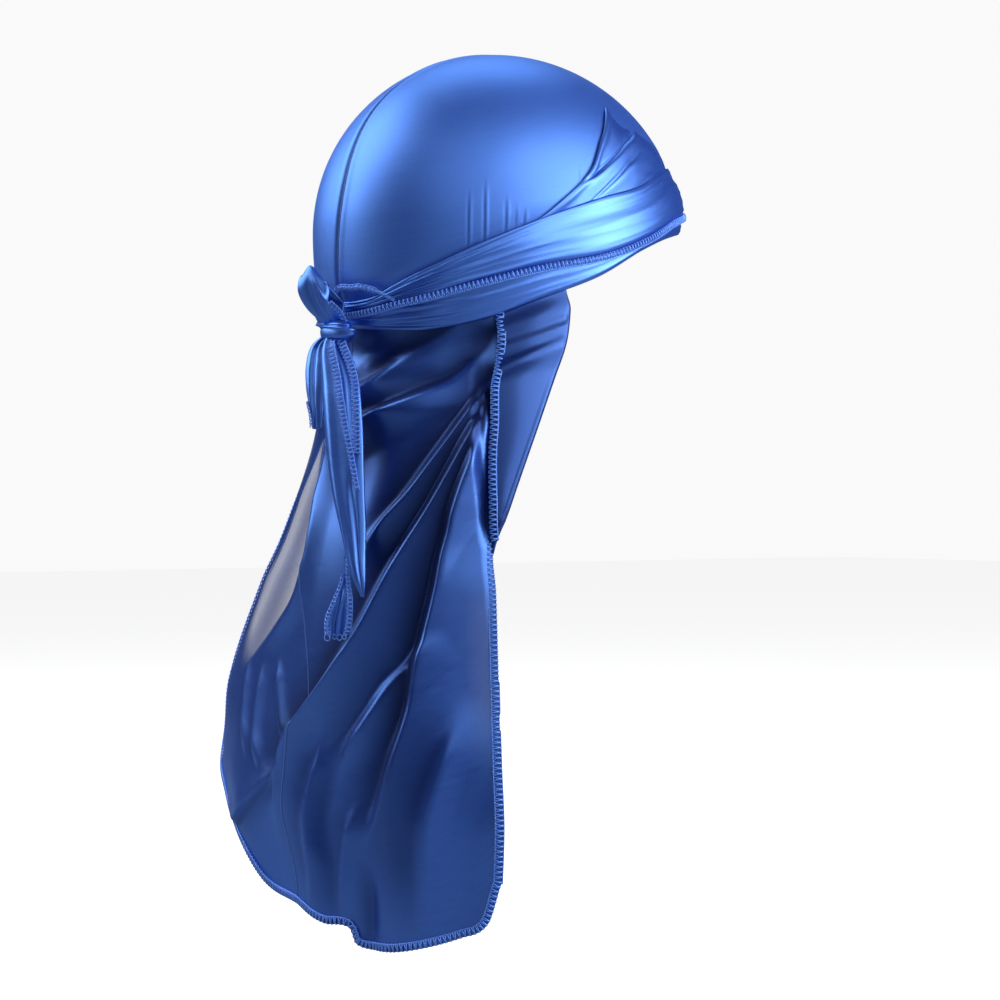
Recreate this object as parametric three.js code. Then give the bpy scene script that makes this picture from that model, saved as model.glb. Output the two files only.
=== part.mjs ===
// A satin durag as it is worn: two crown panels with a seam between them, the pleated roots of the
// straps, two straps wrapped round the crown and tied at the back, and a long cape that hangs free.
// Millimetres, +Z up. The origin is the middle of the crown's widest ring and the front is toward -Y,
// so the wearer's right is toward -X. A turn is an angle about +Z, 0 at the back of the crown,
// 90 at the wearer's right side and 180 at the front.
import * as THREE from 'three';
import { mergeVertices } from 'three/addons/utils/BufferGeometryUtils.js';

// Driving sizes
const crownWidth = 158; // outside the cloth, across the crown's widest ring
const crownLength = 194; // front to back across the same ring
const crownHeight = 90; // from that ring to the top
const capeDrop = 338; // from that ring down to the lowest point of the hem
const crownWall = 1.0;
const strapWall = 1.0;
const capeWall = 1.2;
const hemWall = 2.2; // the overlocked edge of the cape
const layerGap = 0.55; // clearance between one layer and the next
const seamWidth = 2.6;
const seamRise = 0.6; // how far the seam stands above the panels
const strapWidth = 40; // the pair of wrapped straps where they are widest
const strapLap = 7; // how far the upper strap lies over the lower one
const strapFold = 0.8; // height of the folds that run along a strap
const rootFold = 0.9; // height of the pleats at a strap's root
const capeFold = 5; // height of the cape's main folds
const foldSpread = 10.5; // half width of such a fold
const turnBackWidth = 29; // the right edge of the cape, turned outward under the wraps
const turnBackRound = 1.7; // radius of the cloth's middle round that turned edge
const turnBackEnd = 0.470; // share of capeDrop where that turned edge runs out
const knotWidth = 21;
const knotHeight = 15.5;
const knotDepth = 12;
const knotTurn = 5.5; // the knot sits a little to the wearer's right
const loopLength = 31; // the half bow above the knot
const loopWidth = 17;
const loopDepth = 7.5;
const loopWall = 1.6;
const tailLength = 136; // the long end of the tie
const tailWidth = 18;
const shortTailLength = 42;
const shortTailWidth = 13;
const tailWall = 2.2; // a folded strap, two layers thick
const tailApart = 0.38; // how far a tail leaves the knot from its middle, as a share of the tail's width
const strandWidth = 3.4; // the overlocked strand that joins the half bow to the wraps

// Grid steps
const turnStep = 9; // degrees between columns on the crown
const crownRows = 13;
const capeColumns = 16;
const capeRows = 24;
const lastColumn = 0.955; // share of a cape panel's width where its last column before the edge stands
const tailStep = 9; // distance between the rings of a tail

// Worked out from the sizes
const halfWidth = crownWidth / 2;
const halfLength = crownLength / 2;
const napeSpan = crownHeight * 2 / 3;
const napeTaper = 0.10; // share of the ring that is lost one napeSpan below it
const frontLevel = crownHeight * 0.19; // the front falls back below this height
const frontFall = 0.03; // share of the length by which it does so at the ring
const wrapSink = 2.4; // how far the wraps press the crown in
const rimShare = 0.3; // where crown and cape meet, as a share of the wraps' width above their low edge
const rootLevel = strapWall / 2 + layerGap * 1.9; // middle of a root above the crown
const innerLevel = rootLevel + strapWall + layerGap; // middle of the inner strap above the crown
const outerLevel = innerLevel + strapWall + layerGap * 1.5; // middle of the outer strap above it
const seamClear = seamWidth / 2 + layerGap;
const strapEnd = 2; // degrees from the back where the wraps run in under the knot
const crossing = { from: 150, to: 210 }; // turns between which the two straps change places
const foldsBegin = 25; // degrees from the back over which a strap's folds rise to full height

// The wraps, by turn: the height of their middle as a share of crownHeight, their width as a share
// of strapWidth, and the stitched edge of the upper strap as a share of that width
const wraps = [
  { turn: 0, middle: -0.467, width: 0.30, stitch: 0.57 },
  { turn: 18, middle: -0.467, width: 0.37, stitch: 0.70 },
  { turn: 36, middle: -0.409, width: 0.66, stitch: 0.60 },
  { turn: 54, middle: -0.315, width: 0.87, stitch: 0.53 },
  { turn: 72, middle: -0.189, width: 0.93, stitch: 0.42 },
  { turn: 90, middle: -0.069, width: 0.93, stitch: 0.29 },
  { turn: 108, middle: 0.058, width: 0.78, stitch: 0.20 },
  { turn: 126, middle: 0.167, width: 0.82, stitch: 0.26 },
  { turn: 153, middle: 0.233, width: 0.82, stitch: 0.32 },
  { turn: 180, middle: 0.250, width: 0.82, stitch: 0.34 },
];

// The pleated edge of a strap's root, by turn, as a share of crownHeight
const rootEdge = [
  { turn: 56, height: -0.155 },
  { turn: 63, height: -0.060 },
  { turn: 70, height: 0.000 },
  { turn: 77, height: 0.100 },
  { turn: 88, height: 0.285 },
  { turn: 95, height: 0.460 },
  { turn: 108, height: 0.670 },
  { turn: 126, height: 0.650 },
  { turn: 144, height: 0.570 },
  { turn: 162, height: 0.470 },
];

// Folds across a strap and across a root, from their top edge (0) to their low edge (1)
const strapFolds = [
  { across: 0, lift: 0.0 },
  { across: 0.14, lift: 1.0 },
  { across: 0.32, lift: 0.1 },
  { across: 0.52, lift: 0.8 },
  { across: 0.72, lift: 0.1 },
  { across: 0.88, lift: 0.9 },
  { across: 1, lift: 0.3 },
];
const rootFolds = [
  { across: 0, lift: 0.2 },
  { across: 0.12, lift: 1.0 },
  { across: 0.26, lift: 0.1 },
  { across: 0.4, lift: 0.8 },
  { across: 0.55, lift: 0.1 },
  { across: 0.7, lift: 0.4 },
  { across: 0.85, lift: 0.0 },
  { across: 1, lift: 0.0 },
];

// The cape's level sections. drop is a share of capeDrop; back and the backs of the edges are shares
// of halfLength; seam and the outs of the edges are shares of halfWidth; a round of 1 is an elliptic
// side and a round of 0 a straight one.
const capeSections = [
  { drop: 0.118, back: 0.959, seam: 0.000, rightOut: 0.95, rightBack: 0.17, rightRound: 1.00,
    leftOut: 0.848, leftBack: 0.495, leftRound: 1.00 },
  { drop: 0.177, back: 0.969, seam: 0.000, rightOut: 0.965, rightBack: 0.235, rightRound: 1.00,
    leftOut: 0.873, leftBack: 0.505, leftRound: 0.90 },
  { drop: 0.271, back: 1.021, seam: 0.000, rightOut: 1.02, rightBack: 0.4, rightRound: 0.95,
    leftOut: 0.975, leftBack: 0.546, leftRound: 0.45 },
  { drop: 0.383, back: 1.103, seam: -0.025, rightOut: 1.022, rightBack: 0.565, rightRound: 0.90,
    leftOut: 1.190, leftBack: 0.619, leftRound: 0.30 },
  { drop: 0.445, back: 1.134, seam: -0.038, rightOut: 1.015, rightBack: 0.64, rightRound: 0.95,
    leftOut: 1.305, leftBack: 0.660, leftRound: 0.35 },
  { drop: 0.507, back: 1.155, seam: -0.038, rightOut: 1.068, rightBack: 0.655, rightRound: 1.00,
    leftOut: 1.435, leftBack: 0.711, leftRound: 0.50 },
  { drop: 0.655, back: 1.175, seam: 0.063, rightOut: 1.177, rightBack: 0.701, rightRound: 1.00,
    leftOut: 1.730, leftBack: 0.765, leftRound: 1.00 },
  { drop: 0.737, back: 1.216, seam: -0.025, rightOut: 1.240, rightBack: 0.727, rightRound: 1.00,
    leftOut: 1.765, leftBack: 0.755, leftRound: 1.00 },
  { drop: 0.811, back: 1.247, seam: -0.076, rightOut: 1.278, rightBack: 0.737, rightRound: 1.00,
    leftOut: 1.750, leftBack: 0.745, leftRound: 1.00 },
  { drop: 0.900, back: 1.227, seam: 0.025, rightOut: 1.259, rightBack: 0.737, rightRound: 1.00,
    leftOut: 1.670, leftBack: 0.730, leftRound: 1.00 },
  { drop: 1.018, back: 1.206, seam: 0.038, rightOut: 1.228, rightBack: 0.732, rightRound: 1.00,
    leftOut: 1.600, leftBack: 0.722, leftRound: 1.00 },
];

// The hem, from the left edge (-1) over the seam (0) to the right edge (1), as shares of capeDrop
const hem = [
  { across: -1, drop: 0.640 },
  { across: -0.93, drop: 0.722 },
  { across: -0.8, drop: 0.775 },
  { across: -0.6, drop: 0.815 },
  { across: -0.4, drop: 0.864 },
  { across: -0.2, drop: 0.924 },
  { across: 0, drop: 0.938 },
  { across: 0.2, drop: 0.955 },
  { across: 0.34, drop: 0.980 },
  { across: 0.46, drop: 0.985 },
  { across: 0.63, drop: 0.978 },
  { across: 0.84, drop: 0.960 },
  { across: 0.95, drop: 0.940 },
  { across: 1, drop: 0.885 },
];

// The cape's folds: each runs from the gather under the wraps through a middle to an end.
// lift is a share of capeFold and spread a share of foldSpread; a negative lift is a hollow.
const gather = { across: 0.74, drop: 0.150 };
const foldBreadth = 0.6; // cloth in one unit across, as a share of crownWidth
const capeFolds = [
  { midAcross: 0.46, midDrop: 0.200, endAcross: 0.16, endDrop: 0.240, spread: 0.8, lift: 0.7 },
  { midAcross: 0.54, midDrop: 0.262, endAcross: 0.20, endDrop: 0.330, spread: 0.9, lift: -0.7 },
  { midAcross: 0.62, midDrop: 0.318, endAcross: 0.38, endDrop: 0.450, spread: 0.8, lift: 0.8 },
  { midAcross: 0.60, midDrop: 0.420, endAcross: 0.16, endDrop: 0.600, spread: 0.9, lift: -0.8 },
  { midAcross: 0.67, midDrop: 0.430, endAcross: 0.02, endDrop: 0.720, spread: 0.8, lift: 1.0 },
  { midAcross: 0.68, midDrop: 0.540, endAcross: 0.34, endDrop: 0.760, spread: 0.9, lift: -1.0 },
  { midAcross: 0.79, midDrop: 0.500, endAcross: 0.52, endDrop: 0.820, spread: 0.9, lift: 0.8 },
];

// Soft flutes that hang down the lower cape, strongest at the hem
const capeFlutes = [
  { across: -0.82, spread: 1.3, lift: 0.5 },
  { across: -0.58, spread: 1.3, lift: -0.5 },
  { across: -0.34, spread: 1.2, lift: 0.5 },
  { across: -0.12, spread: 1.1, lift: -0.4 },
  { across: 0.16, spread: 1.1, lift: 0.5 },
  { across: 0.38, spread: 1.2, lift: -0.5 },
  { across: 0.62, spread: 1.2, lift: 0.5 },
  { across: 0.84, spread: 1.2, lift: -0.4 },
];
const fluteStart = 0.55; // share of capeDrop where the flutes begin

// The long tail lies down the cape: across at a share of its length, and its width there
const tailPath = [
  { along: 0, across: 0.065, width: 0.45 },
  { along: 0.14, across: 0.09, width: 0.80 },
  { along: 0.35, across: 0.16, width: 1.00 },
  { along: 0.60, across: 0.25, width: 0.95 },
  { along: 0.80, across: 0.30, width: 0.70 },
  { along: 0.90, across: 0.30, width: 0.45 },
  { along: 1, across: 0.27, width: 0.70 },
];
const shortTailPath = [
  { along: 0, across: -0.06, width: 0.55 },
  { along: 0.3, across: -0.12, width: 0.95 },
  { along: 0.6, across: -0.13, width: 1.00 },
  { along: 0.85, across: -0.09, width: 0.70 },
  { along: 1, across: -0.07, width: 0.40 },
];

// The strand's path round the crown: its rise and its lift over the top edge of the wraps
const strandPath = [
  { turn: 28, rise: 0.6, lift: 0.3 },
  { turn: 20, rise: 0, lift: 1 },
  { turn: 12, rise: 0, lift: 2.5 },
  { turn: 6.5, rise: -0.5, lift: 5 },
];

const lerp = THREE.MathUtils.lerp;
const toRadians = THREE.MathUtils.degToRad;
const smooth = THREE.MathUtils.smoothstep;

// The value of one column of a table at a place along another, on a smooth curve through its rows
function read(table, place, column, at) {
  const last = table.length - 1;
  if (at <= table[0][place]) return table[0][column];
  if (at >= table[last][place]) return table[last][column];
  let row = 0;
  while (table[row + 1][place] < at) row += 1;
  const slopeAt = (index) => {
    const before = table[Math.max(index - 1, 0)];
    const after = table[Math.min(index + 1, last)];
    return (after[column] - before[column]) / (after[place] - before[place]);
  };
  const start = table[row];
  const end = table[row + 1];
  const span = end[place] - start[place];
  const t = (at - start[place]) / span;
  return (1 + 2 * t) * (1 - t) ** 2 * start[column]
    + t * (1 - t) ** 2 * span * slopeAt(row)
    + t * t * (3 - 2 * t) * end[column]
    + t * t * (t - 1) * span * slopeAt(row + 1);
}

// Form of the crown

function ringShare(z) {
  if (z >= 0) return Math.sqrt(Math.max(1 - (z / crownHeight) ** 2, 0));
  return 1 - napeTaper * (z / napeSpan) ** 2;
}

function ringSlope(z) {
  if (z >= 0) return -z / crownHeight ** 2;
  return -2 * napeTaper * z / napeSpan ** 2 * ringShare(z);
}

// A point on the cloth of the crown, raised by a lift along its normal
function onCrown(turn, z, lift) {
  const angle = toRadians(turn);
  const share = ringShare(z);
  const below = Math.min(Math.max((frontLevel - z) / frontLevel, 0), 1.6);
  const front = Math.max(-Math.cos(angle), 0) ** 2;
  const fall = frontFall * halfLength * below ** 1.5 * front;
  const point = new THREE.Vector3(
    -halfWidth * share * Math.sin(angle),
    halfLength * share * Math.cos(angle) + fall,
    z,
  );
  const normal = new THREE.Vector3(
    -share * Math.sin(angle) / halfWidth,
    share * Math.cos(angle) / halfLength,
    -ringSlope(z),
  ).normalize();
  const pressed = smooth(wrapAt(turn).top + wrapSink * 4 - z, 0, wrapSink * 7);
  return { point: point.addScaledVector(normal, lift - wrapSink * pressed), normal };
}

// The turns from one to another: both ends and every whole step between them
function turnsBetween(from, to) {
  const turns = [from];
  for (let step = Math.floor(from / turnStep) + 1; step * turnStep < to - 0.5; step += 1) {
    if (step * turnStep > from + 0.5) turns.push(step * turnStep);
  }
  turns.push(to);
  return turns;
}

// The wraps' top, stitched edge and low edge at a turn
function wrapAt(turn) {
  const side = turn > 180 ? 360 - turn : Math.abs(turn);
  const middle = read(wraps, 'turn', 'middle', side) * crownHeight;
  const width = read(wraps, 'turn', 'width', side) * strapWidth;
  const stitch = read(wraps, 'turn', 'stitch', side);
  const low = middle - width / 2;
  return { top: middle + width / 2, stitch: low + stitch * width, low, rim: low + rimShare * width };
}

// Closed solids

function solid(points, faces) {
  const flat = points.flatMap((point) => [point.x, point.y, point.z]);
  const open = new THREE.BufferGeometry();
  open.setAttribute('position', new THREE.Float32BufferAttribute(flat, 3));
  open.setIndex(faces);
  return closed(open);
}

// Shared vertices merged, empty triangles dropped and every face turned outward
function closed(geometry) {
  geometry.deleteAttribute('normal');
  geometry.deleteAttribute('uv');
  const merged = mergeVertices(geometry, 0.001);
  const position = merged.getAttribute('position');
  const index = merged.getIndex().array;
  const kept = [];
  let volume = 0;
  for (let face = 0; face < index.length; face += 3) {
    const [a, b, c] = [index[face], index[face + 1], index[face + 2]];
    if (a === b || b === c || c === a) continue;
    const [p, q, r] = [a, b, c].map((vertex) => new THREE.Vector3().fromBufferAttribute(position, vertex));
    volume += p.dot(q.cross(r));
    kept.push(a, b, c);
  }
  if (volume < 0) kept.reverse();
  merged.setIndex(kept);
  merged.computeVertexNormals();
  return merged;
}

// A wall of cloth from rows of middle points, each with its normal and wall, closed round its edge
function sheet(rows) {
  const across = rows[0].length;
  const flatRows = rows.flat();
  const side = (sign) => flatRows.map((node) => {
    return node.point.clone().addScaledVector(node.normal, sign * node.wall / 2);
  });
  const points = [...side(1), ...side(-1)];
  const under = flatRows.length;
  const faces = [];
  const quad = (a, b, c, d) => faces.push(a, b, c, a, c, d);
  const at = (row, column) => row * across + column;
  for (let row = 0; row < rows.length - 1; row += 1) {
    for (let column = 0; column < across - 1; column += 1) {
      const [a, b] = [at(row, column), at(row, column + 1)];
      const [c, d] = [at(row + 1, column + 1), at(row + 1, column)];
      faces.push(a, b, d, b, c, d);
      faces.push(d + under, b + under, a + under, d + under, c + under, b + under);
    }
    const right = across - 1;
    quad(at(row, 0), at(row + 1, 0), at(row + 1, 0) + under, at(row, 0) + under);
    quad(at(row, right) + under, at(row + 1, right) + under, at(row + 1, right), at(row, right));
  }
  const bottom = rows.length - 1;
  for (let column = 0; column < across - 1; column += 1) {
    quad(at(0, column) + under, at(0, column + 1) + under, at(0, column + 1), at(0, column));
    const [e, f] = [at(bottom, column), at(bottom, column + 1)];
    quad(e, f, f + under, e + under);
  }
  return solid(points, faces);
}

// A body through rings of points; a joined one closes on itself, another has flat ends
function loft(rings, joined = false) {
  const around = rings[0].length;
  const points = rings.flat();
  const faces = [];
  const count = joined ? rings.length : rings.length - 1;
  for (let ring = 0; ring < count; ring += 1) {
    const next = (ring + 1) % rings.length;
    for (let side = 0; side < around; side += 1) {
      const after = (side + 1) % around;
      const [a, b] = [ring * around + side, ring * around + after];
      const [c, d] = [next * around + after, next * around + side];
      faces.push(a, b, c, a, c, d);
    }
  }
  if (!joined) {
    const end = (rings.length - 1) * around;
    for (let side = 1; side < around - 1; side += 1) {
      faces.push(0, side + 1, side);
      faces.push(end, end + side, end + side + 1);
    }
  }
  return solid(points, faces);
}

// Crown

// Height at a climb in radians from the widest ring: an arc above it and a straight line below
function heightAt(climb) {
  return crownHeight * (climb > 0 ? Math.sin(climb) : climb);
}

function climbTo(z) {
  return z > 0 ? Math.asin(z / crownHeight) : z / crownHeight;
}

function crownPanel(side) {
  const rows = [];
  for (let row = 0; row <= crownRows; row += 1) {
    rows.push(turnsBetween(0, 180).map((turn) => {
      const rim = climbTo(wrapAt(turn).rim);
      const z = heightAt(lerp(rim, Math.acos(seamClear / halfWidth), row / crownRows));
      const seamTurn = THREE.MathUtils.radToDeg(Math.asin(Math.min(seamClear / halfWidth / ringShare(z), 1)));
      const onPanel = THREE.MathUtils.clamp(turn, seamTurn, 180 - seamTurn);
      const { point, normal } = onCrown(onPanel, z, -crownWall / 2);
      point.x *= side;
      normal.x *= side;
      return { point, normal, wall: crownWall };
    }));
  }
  return sheet(rows);
}

function crownSeam() {
  const lift = (seamRise - crownWall) / 2;
  const wall = seamRise + crownWall;
  const half = (turn) => {
    const rim = climbTo(wrapAt(turn).rim);
    return Array.from({ length: crownRows + 1 }, (_, row) => {
      return onCrown(turn, heightAt(lerp(rim, Math.PI / 2, row / crownRows)), lift);
    });
  };
  const line = [...half(0), ...half(180).reverse().slice(1)];
  return sheet(line.map(({ point, normal }) => [-1, 1].map((end) => ({
    point: new THREE.Vector3(end * seamWidth / 2, point.y, point.z),
    normal,
    wall,
  }))));
}

// Straps

// A strap's pleated root, gathered from the crown's front and running back under the wraps
function strapRoot(side) {
  const start = rootEdge[0].turn;
  const end = rootEdge[rootEdge.length - 1].turn;
  return sheet(rootFolds.map(({ across, lift }) => turnsBetween(start, end).map((turn) => {
    const wrap = wrapAt(turn);
    const top = read(rootEdge, 'turn', 'height', turn) * crownHeight;
    const low = lerp(wrap.low, wrap.top, 0.5);
    const z = lerp(top, low, across);
    const shown = smooth(z, wrap.top, wrap.top + strapWidth / 5);
    const { point, normal } = onCrown(turn, z, rootLevel + rootFold * lift * shown);
    point.x *= side;
    normal.x *= side;
    return { point, normal, wall: strapWall };
  })));
}

// The span of a strap at a turn. Each strap runs from the knot round one side in the upper place,
// crosses at the front, and returns to the knot round the other side in the lower place.
function strapSpan(turn, upperSide) {
  const wrap = wrapAt(turn);
  const toLeft = smooth(turn, crossing.from, crossing.to);
  const upper = upperSide > 0 ? 1 - toLeft : toLeft;
  return {
    top: lerp(Math.min(wrap.stitch + strapLap, wrap.top), wrap.top, upper),
    low: lerp(wrap.low, wrap.stitch, upper),
  };
}

// How far a height lies outside a span
function outside(z, span) {
  return Math.max(z - span.top, span.low - z, 0);
}

function wrappedStrap(isOuter) {
  const own = isOuter ? 1 : -1;
  return sheet(strapFolds.map(({ across, lift }) => turnsBetween(strapEnd, 360 - strapEnd).map((turn) => {
    const span = strapSpan(turn, own);
    const other = strapSpan(turn, -own);
    const z = lerp(span.top, span.low, across);
    const free = outside(z, other);
    const settled = smooth(free, strapLap * 0.9, strapLap * 2);
    const level = isOuter ? lerp(outerLevel, innerLevel, settled) : innerLevel;
    const fold = isOuter ? 1 : smooth(free, 0, strapLap * 0.6);
    const full = smooth(Math.min(turn, 360 - turn), 0, foldsBegin);
    const { point, normal } = onCrown(turn, z, level + strapFold * lift * fold * full);
    return { point, normal, wall: strapWall };
  })));
}

// Cape

function capeBase(across, z) {
  const drop = -z / capeDrop;
  const at = (column) => read(capeSections, 'drop', column, drop);
  const right = across >= 0;
  const out = at(right ? 'rightOut' : 'leftOut') * halfWidth;
  const edgeBack = at(right ? 'rightBack' : 'leftBack') * halfLength;
  const round = at(right ? 'rightRound' : 'leftRound');
  const back = at('back') * halfLength;
  const share = Math.abs(across);
  const edgeAngle = Math.acos(edgeBack / back);
  const radius = out / Math.sin(edgeAngle);
  const x = lerp(out * share, radius * Math.sin(share * edgeAngle), round);
  const y = lerp(lerp(back, edgeBack, share), back * Math.cos(share * edgeAngle), round);
  const shift = at('seam') * halfWidth * (1 - share);
  return new THREE.Vector3((right ? -x : x) - shift, y, z);
}

function capeNormal(across, z) {
  const stepAcross = 0.02;
  const stepDown = 2;
  const along = capeBase(across + stepAcross, z).sub(capeBase(across - stepAcross, z));
  const down = capeBase(across, z - stepDown).sub(capeBase(across, z + stepDown));
  return down.cross(along).normalize();
}

// Each fold as a curve of points across and down the cape, in millimetres of cloth
const foldScale = new THREE.Vector2(crownWidth * foldBreadth, capeDrop);
const foldCurves = capeFolds.map((fold) => {
  const curve = new THREE.SplineCurve([
    new THREE.Vector2(gather.across, gather.drop).multiply(foldScale),
    new THREE.Vector2(fold.midAcross, fold.midDrop).multiply(foldScale),
    new THREE.Vector2(fold.endAcross, fold.endDrop).multiply(foldScale),
  ]);
  return { points: curve.getPoints(24), spread: fold.spread * foldSpread, lift: fold.lift * capeFold };
});

function foldLift(across, z) {
  const drop = -z / capeDrop;
  const place = new THREE.Vector2(across, drop).multiply(foldScale);
  let lift = 0;
  for (const fold of foldCurves) {
    const gaps = fold.points.map((point) => point.distanceTo(place));
    const nearest = Math.min(...gaps);
    const along = gaps.indexOf(nearest) / (gaps.length - 1);
    const fade = smooth(along, 0, 0.3) * (1 - smooth(along, 0.8, 1));
    lift += fold.lift * fade * Math.exp(-((nearest / fold.spread) ** 2));
  }
  for (const flute of capeFlutes) {
    const gap = Math.abs(across - flute.across) * foldScale.x;
    const fade = smooth(drop, fluteStart, 1);
    lift += flute.lift * capeFold * fade * Math.exp(-((gap / (flute.spread * foldSpread)) ** 2));
  }
  return lift;
}

// The turn at which a place across the cape comes out from under the wraps
function capeTurn(across) {
  const edge = across >= 0 ? capeSections[0].rightBack : capeSections[0].leftBack;
  return across * THREE.MathUtils.radToDeg(Math.acos(edge / capeSections[0].back));
}

// A point on the outside of the cape. Under the wraps it follows the crown's form.
function onCape(across, z, lift) {
  const turn = capeTurn(across);
  const wrap = wrapAt(turn);
  const freed = smooth(wrap.low - z, 0, strapWidth);
  const under = onCrown(turn, Math.min(z, -1), 0);
  const normal = under.normal.clone().lerp(capeNormal(across, z), freed).normalize();
  const point = under.point.lerp(capeBase(across, z), freed);
  return { point: point.addScaledVector(normal, lift + foldLift(across, z) * freed), normal };
}

// Heights down the cape: its top under the wraps, just below them, then even steps to the hem
function capeHeights(across) {
  const wrap = wrapAt(capeTurn(across));
  const end = -read(hem, 'across', 'drop', across) * capeDrop;
  const start = wrap.low - layerGap * 4;
  const hemBand = hemWall * 2;
  const heights = [wrap.rim - layerGap, start];
  for (let row = 0; row < capeRows; row += 1) {
    heights.push(lerp(start - layerGap, end + hemBand, row / (capeRows - 1)));
  }
  heights.push(end);
  return heights;
}

function turnedWidth(z) {
  const top = wrapAt(capeTurn(1)).low;
  const end = -turnBackEnd * capeDrop;
  return turnBackWidth * Math.max((z - end) / (top - end), 0) ** 0.8;
}

// The turned edge in one row: round the fold, then back over the outside of the panel
function turnedBack(row) {
  const z = capeHeights(1)[row];
  const edge = onCape(1, z, -capeWall / 2);
  const out = onCape(1, z, 0).point.sub(onCape(0.97, z, 0).point).normalize();
  const width = row > 1 ? turnedWidth(z) : 0;
  const isTurned = width > turnBackRound;
  const rounds = [45, 90, 135, 180].map((degrees) => {
    const angle = toRadians(isTurned ? degrees : 0);
    const point = edge.point.clone().addScaledVector(edge.normal, turnBackRound * (1 - Math.cos(angle)));
    point.addScaledVector(out, turnBackRound * Math.sin(angle));
    const normal = edge.normal.clone().multiplyScalar(Math.cos(angle));
    return { point, normal: normal.addScaledVector(out, -Math.sin(angle)), wall: capeWall };
  });
  const cloth = capeBase(1, z).distanceTo(capeBase(0.9, z)) / 0.1;
  const backs = [0.5, 0.86, 1].map((share) => {
    if (!isTurned) return { ...edge, wall: capeWall };
    const across = 1 - width * share / cloth;
    const place = onCape(across, capeHeights(across)[row], turnBackRound * 2 - capeWall / 2);
    const wall = share === 1 ? hemWall : capeWall;
    return { point: place.point, normal: place.normal.negate(), wall };
  });
  return [...rounds, ...backs];
}

function capePanel(side) {
  const columns = Array.from({ length: capeColumns }, (_, column) => lastColumn * column / (capeColumns - 1));
  columns.push(1);
  const heights = columns.map((column) => capeHeights(side * column));
  const rows = [];
  for (let row = 0; row < heights[0].length; row += 1) {
    const isHem = row === heights[0].length - 1;
    const nodes = columns.map((column, index) => {
      const z = heights[index][row];
      const length = capeBase(side, z).distanceTo(capeBase(0, z));
      const inner = seamClear / length;
      const place = onCape(side * lerp(inner, 1, column), z, -capeWall / 2);
      const isTurned = side > 0 && turnedWidth(z) > turnBackRound;
      const isEdge = isHem || (column === 1 && !isTurned && row > 1);
      return { ...place, wall: isEdge ? hemWall : capeWall };
    });
    if (side > 0) nodes.push(...turnedBack(row));
    rows.push(nodes);
  }
  return sheet(rows);
}

function capeSeam() {
  const lift = (seamRise - capeWall) / 2;
  const wall = seamRise + capeWall;
  return sheet(capeHeights(0).map((z) => {
    return [-1, 1].map((side) => {
      const across = side * seamWidth / 2 / capeBase(side, z).distanceTo(capeBase(0, z));
      return { ...onCape(across, z, lift), wall };
    });
  }));
}

// Knot, half bow and tails

const knotPlace = onCrown(knotTurn, wrapAt(knotTurn).low, outerLevel + strapWall / 2).point;
knotPlace.y += layerGap + knotDepth * 0.45;
knotPlace.z = wrapAt(knotTurn).low - knotHeight * 0.15;

function knot() {
  const ball = new THREE.SphereGeometry(1, 18, 10);
  const position = ball.getAttribute('position');
  for (let vertex = 0; vertex < position.count; vertex += 1) {
    const place = new THREE.Vector3().fromBufferAttribute(position, vertex);
    const slant = place.x * 0.8 + place.z;
    const groove = 1 - 0.09 * Math.cos(slant * Math.PI * 2.2) ** 2 * Math.sqrt(place.x ** 2 + place.y ** 2);
    place.multiplyScalar(groove);
    position.setXYZ(
      vertex,
      knotPlace.x + place.x * knotWidth / 2,
      knotPlace.y + place.y * knotDepth / 2,
      knotPlace.z + place.z * knotHeight / 2,
    );
  }
  return closed(ball);
}

// The half bow is a strap bent on itself: a flat loop that leans up, out and to the wearer's left
function bowLoop() {
  const foot = knotPlace.clone().add(new THREE.Vector3(knotWidth * 0.12, 0, knotHeight / 2 + layerGap * 0.6));
  const up = new THREE.Vector3(0.34, 0.18, 0.92).normalize();
  const out = new THREE.Vector3(-0.5, 0.87, 0);
  out.addScaledVector(up, -up.dot(out)).normalize();
  foot.addScaledVector(out, loopDepth * 0.3);
  const wide = new THREE.Vector3().crossVectors(up, out).normalize();
  const rings = [];
  const steps = 20;
  for (let step = 0; step < steps; step += 1) {
    const angle = step / steps * Math.PI * 2;
    const rise = (1 - Math.cos(angle)) / 2;
    const centre = foot.clone().addScaledVector(up, loopWall / 2 + rise * (loopLength - loopWall));
    const belly = Math.sin(angle) * (loopDepth - loopWall) / 2;
    centre.addScaledVector(out, belly);
    const normal = new THREE.Vector3().addScaledVector(out, Math.sin(angle) / (loopDepth / 2));
    normal.addScaledVector(up, -Math.cos(angle) / (loopLength / 2)).normalize();
    const width = loopWidth * lerp(0.5, 1, smooth(rise, 0, 0.55)) * lerp(1, 0.8, smooth(rise, 0.8, 1));
    rings.push([[-1, -1], [-1, 1], [1, 1], [1, -1]].map(([across, through]) => {
      const corner = centre.clone().addScaledVector(wide, across * width / 2);
      return corner.addScaledVector(normal, through * loopWall / 2);
    }));
  }
  return loft(rings, true);
}

// A strand of the strap's overlocked edge, from the top of the wraps to the foot of the half bow
function strand() {
  const radius = strandWidth / 2;
  const level = layerGap + radius;
  const base = wrapAt(strandPath[0].turn - 1).top + level;
  const path = new THREE.CatmullRomCurve3(strandPath.map(({ turn, rise, lift }) => {
    return onCrown(turn, base + rise, level + lift).point;
  }));
  const section = new THREE.Shape().absellipse(0, 0, radius, radius, 0, Math.PI * 2);
  const tube = new THREE.ExtrudeGeometry(section, { steps: 8, extrudePath: path, curveSegments: 4 });
  return closed(tube);
}

// A tail's section: two folded edges with a crease between them, as shares of its width and wall
const tailSection = [[-0.5, 0], [-0.25, 0.5], [0.15, 0.28], [0.32, 0.5], [0.5, 0], [0, -0.5]];

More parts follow.
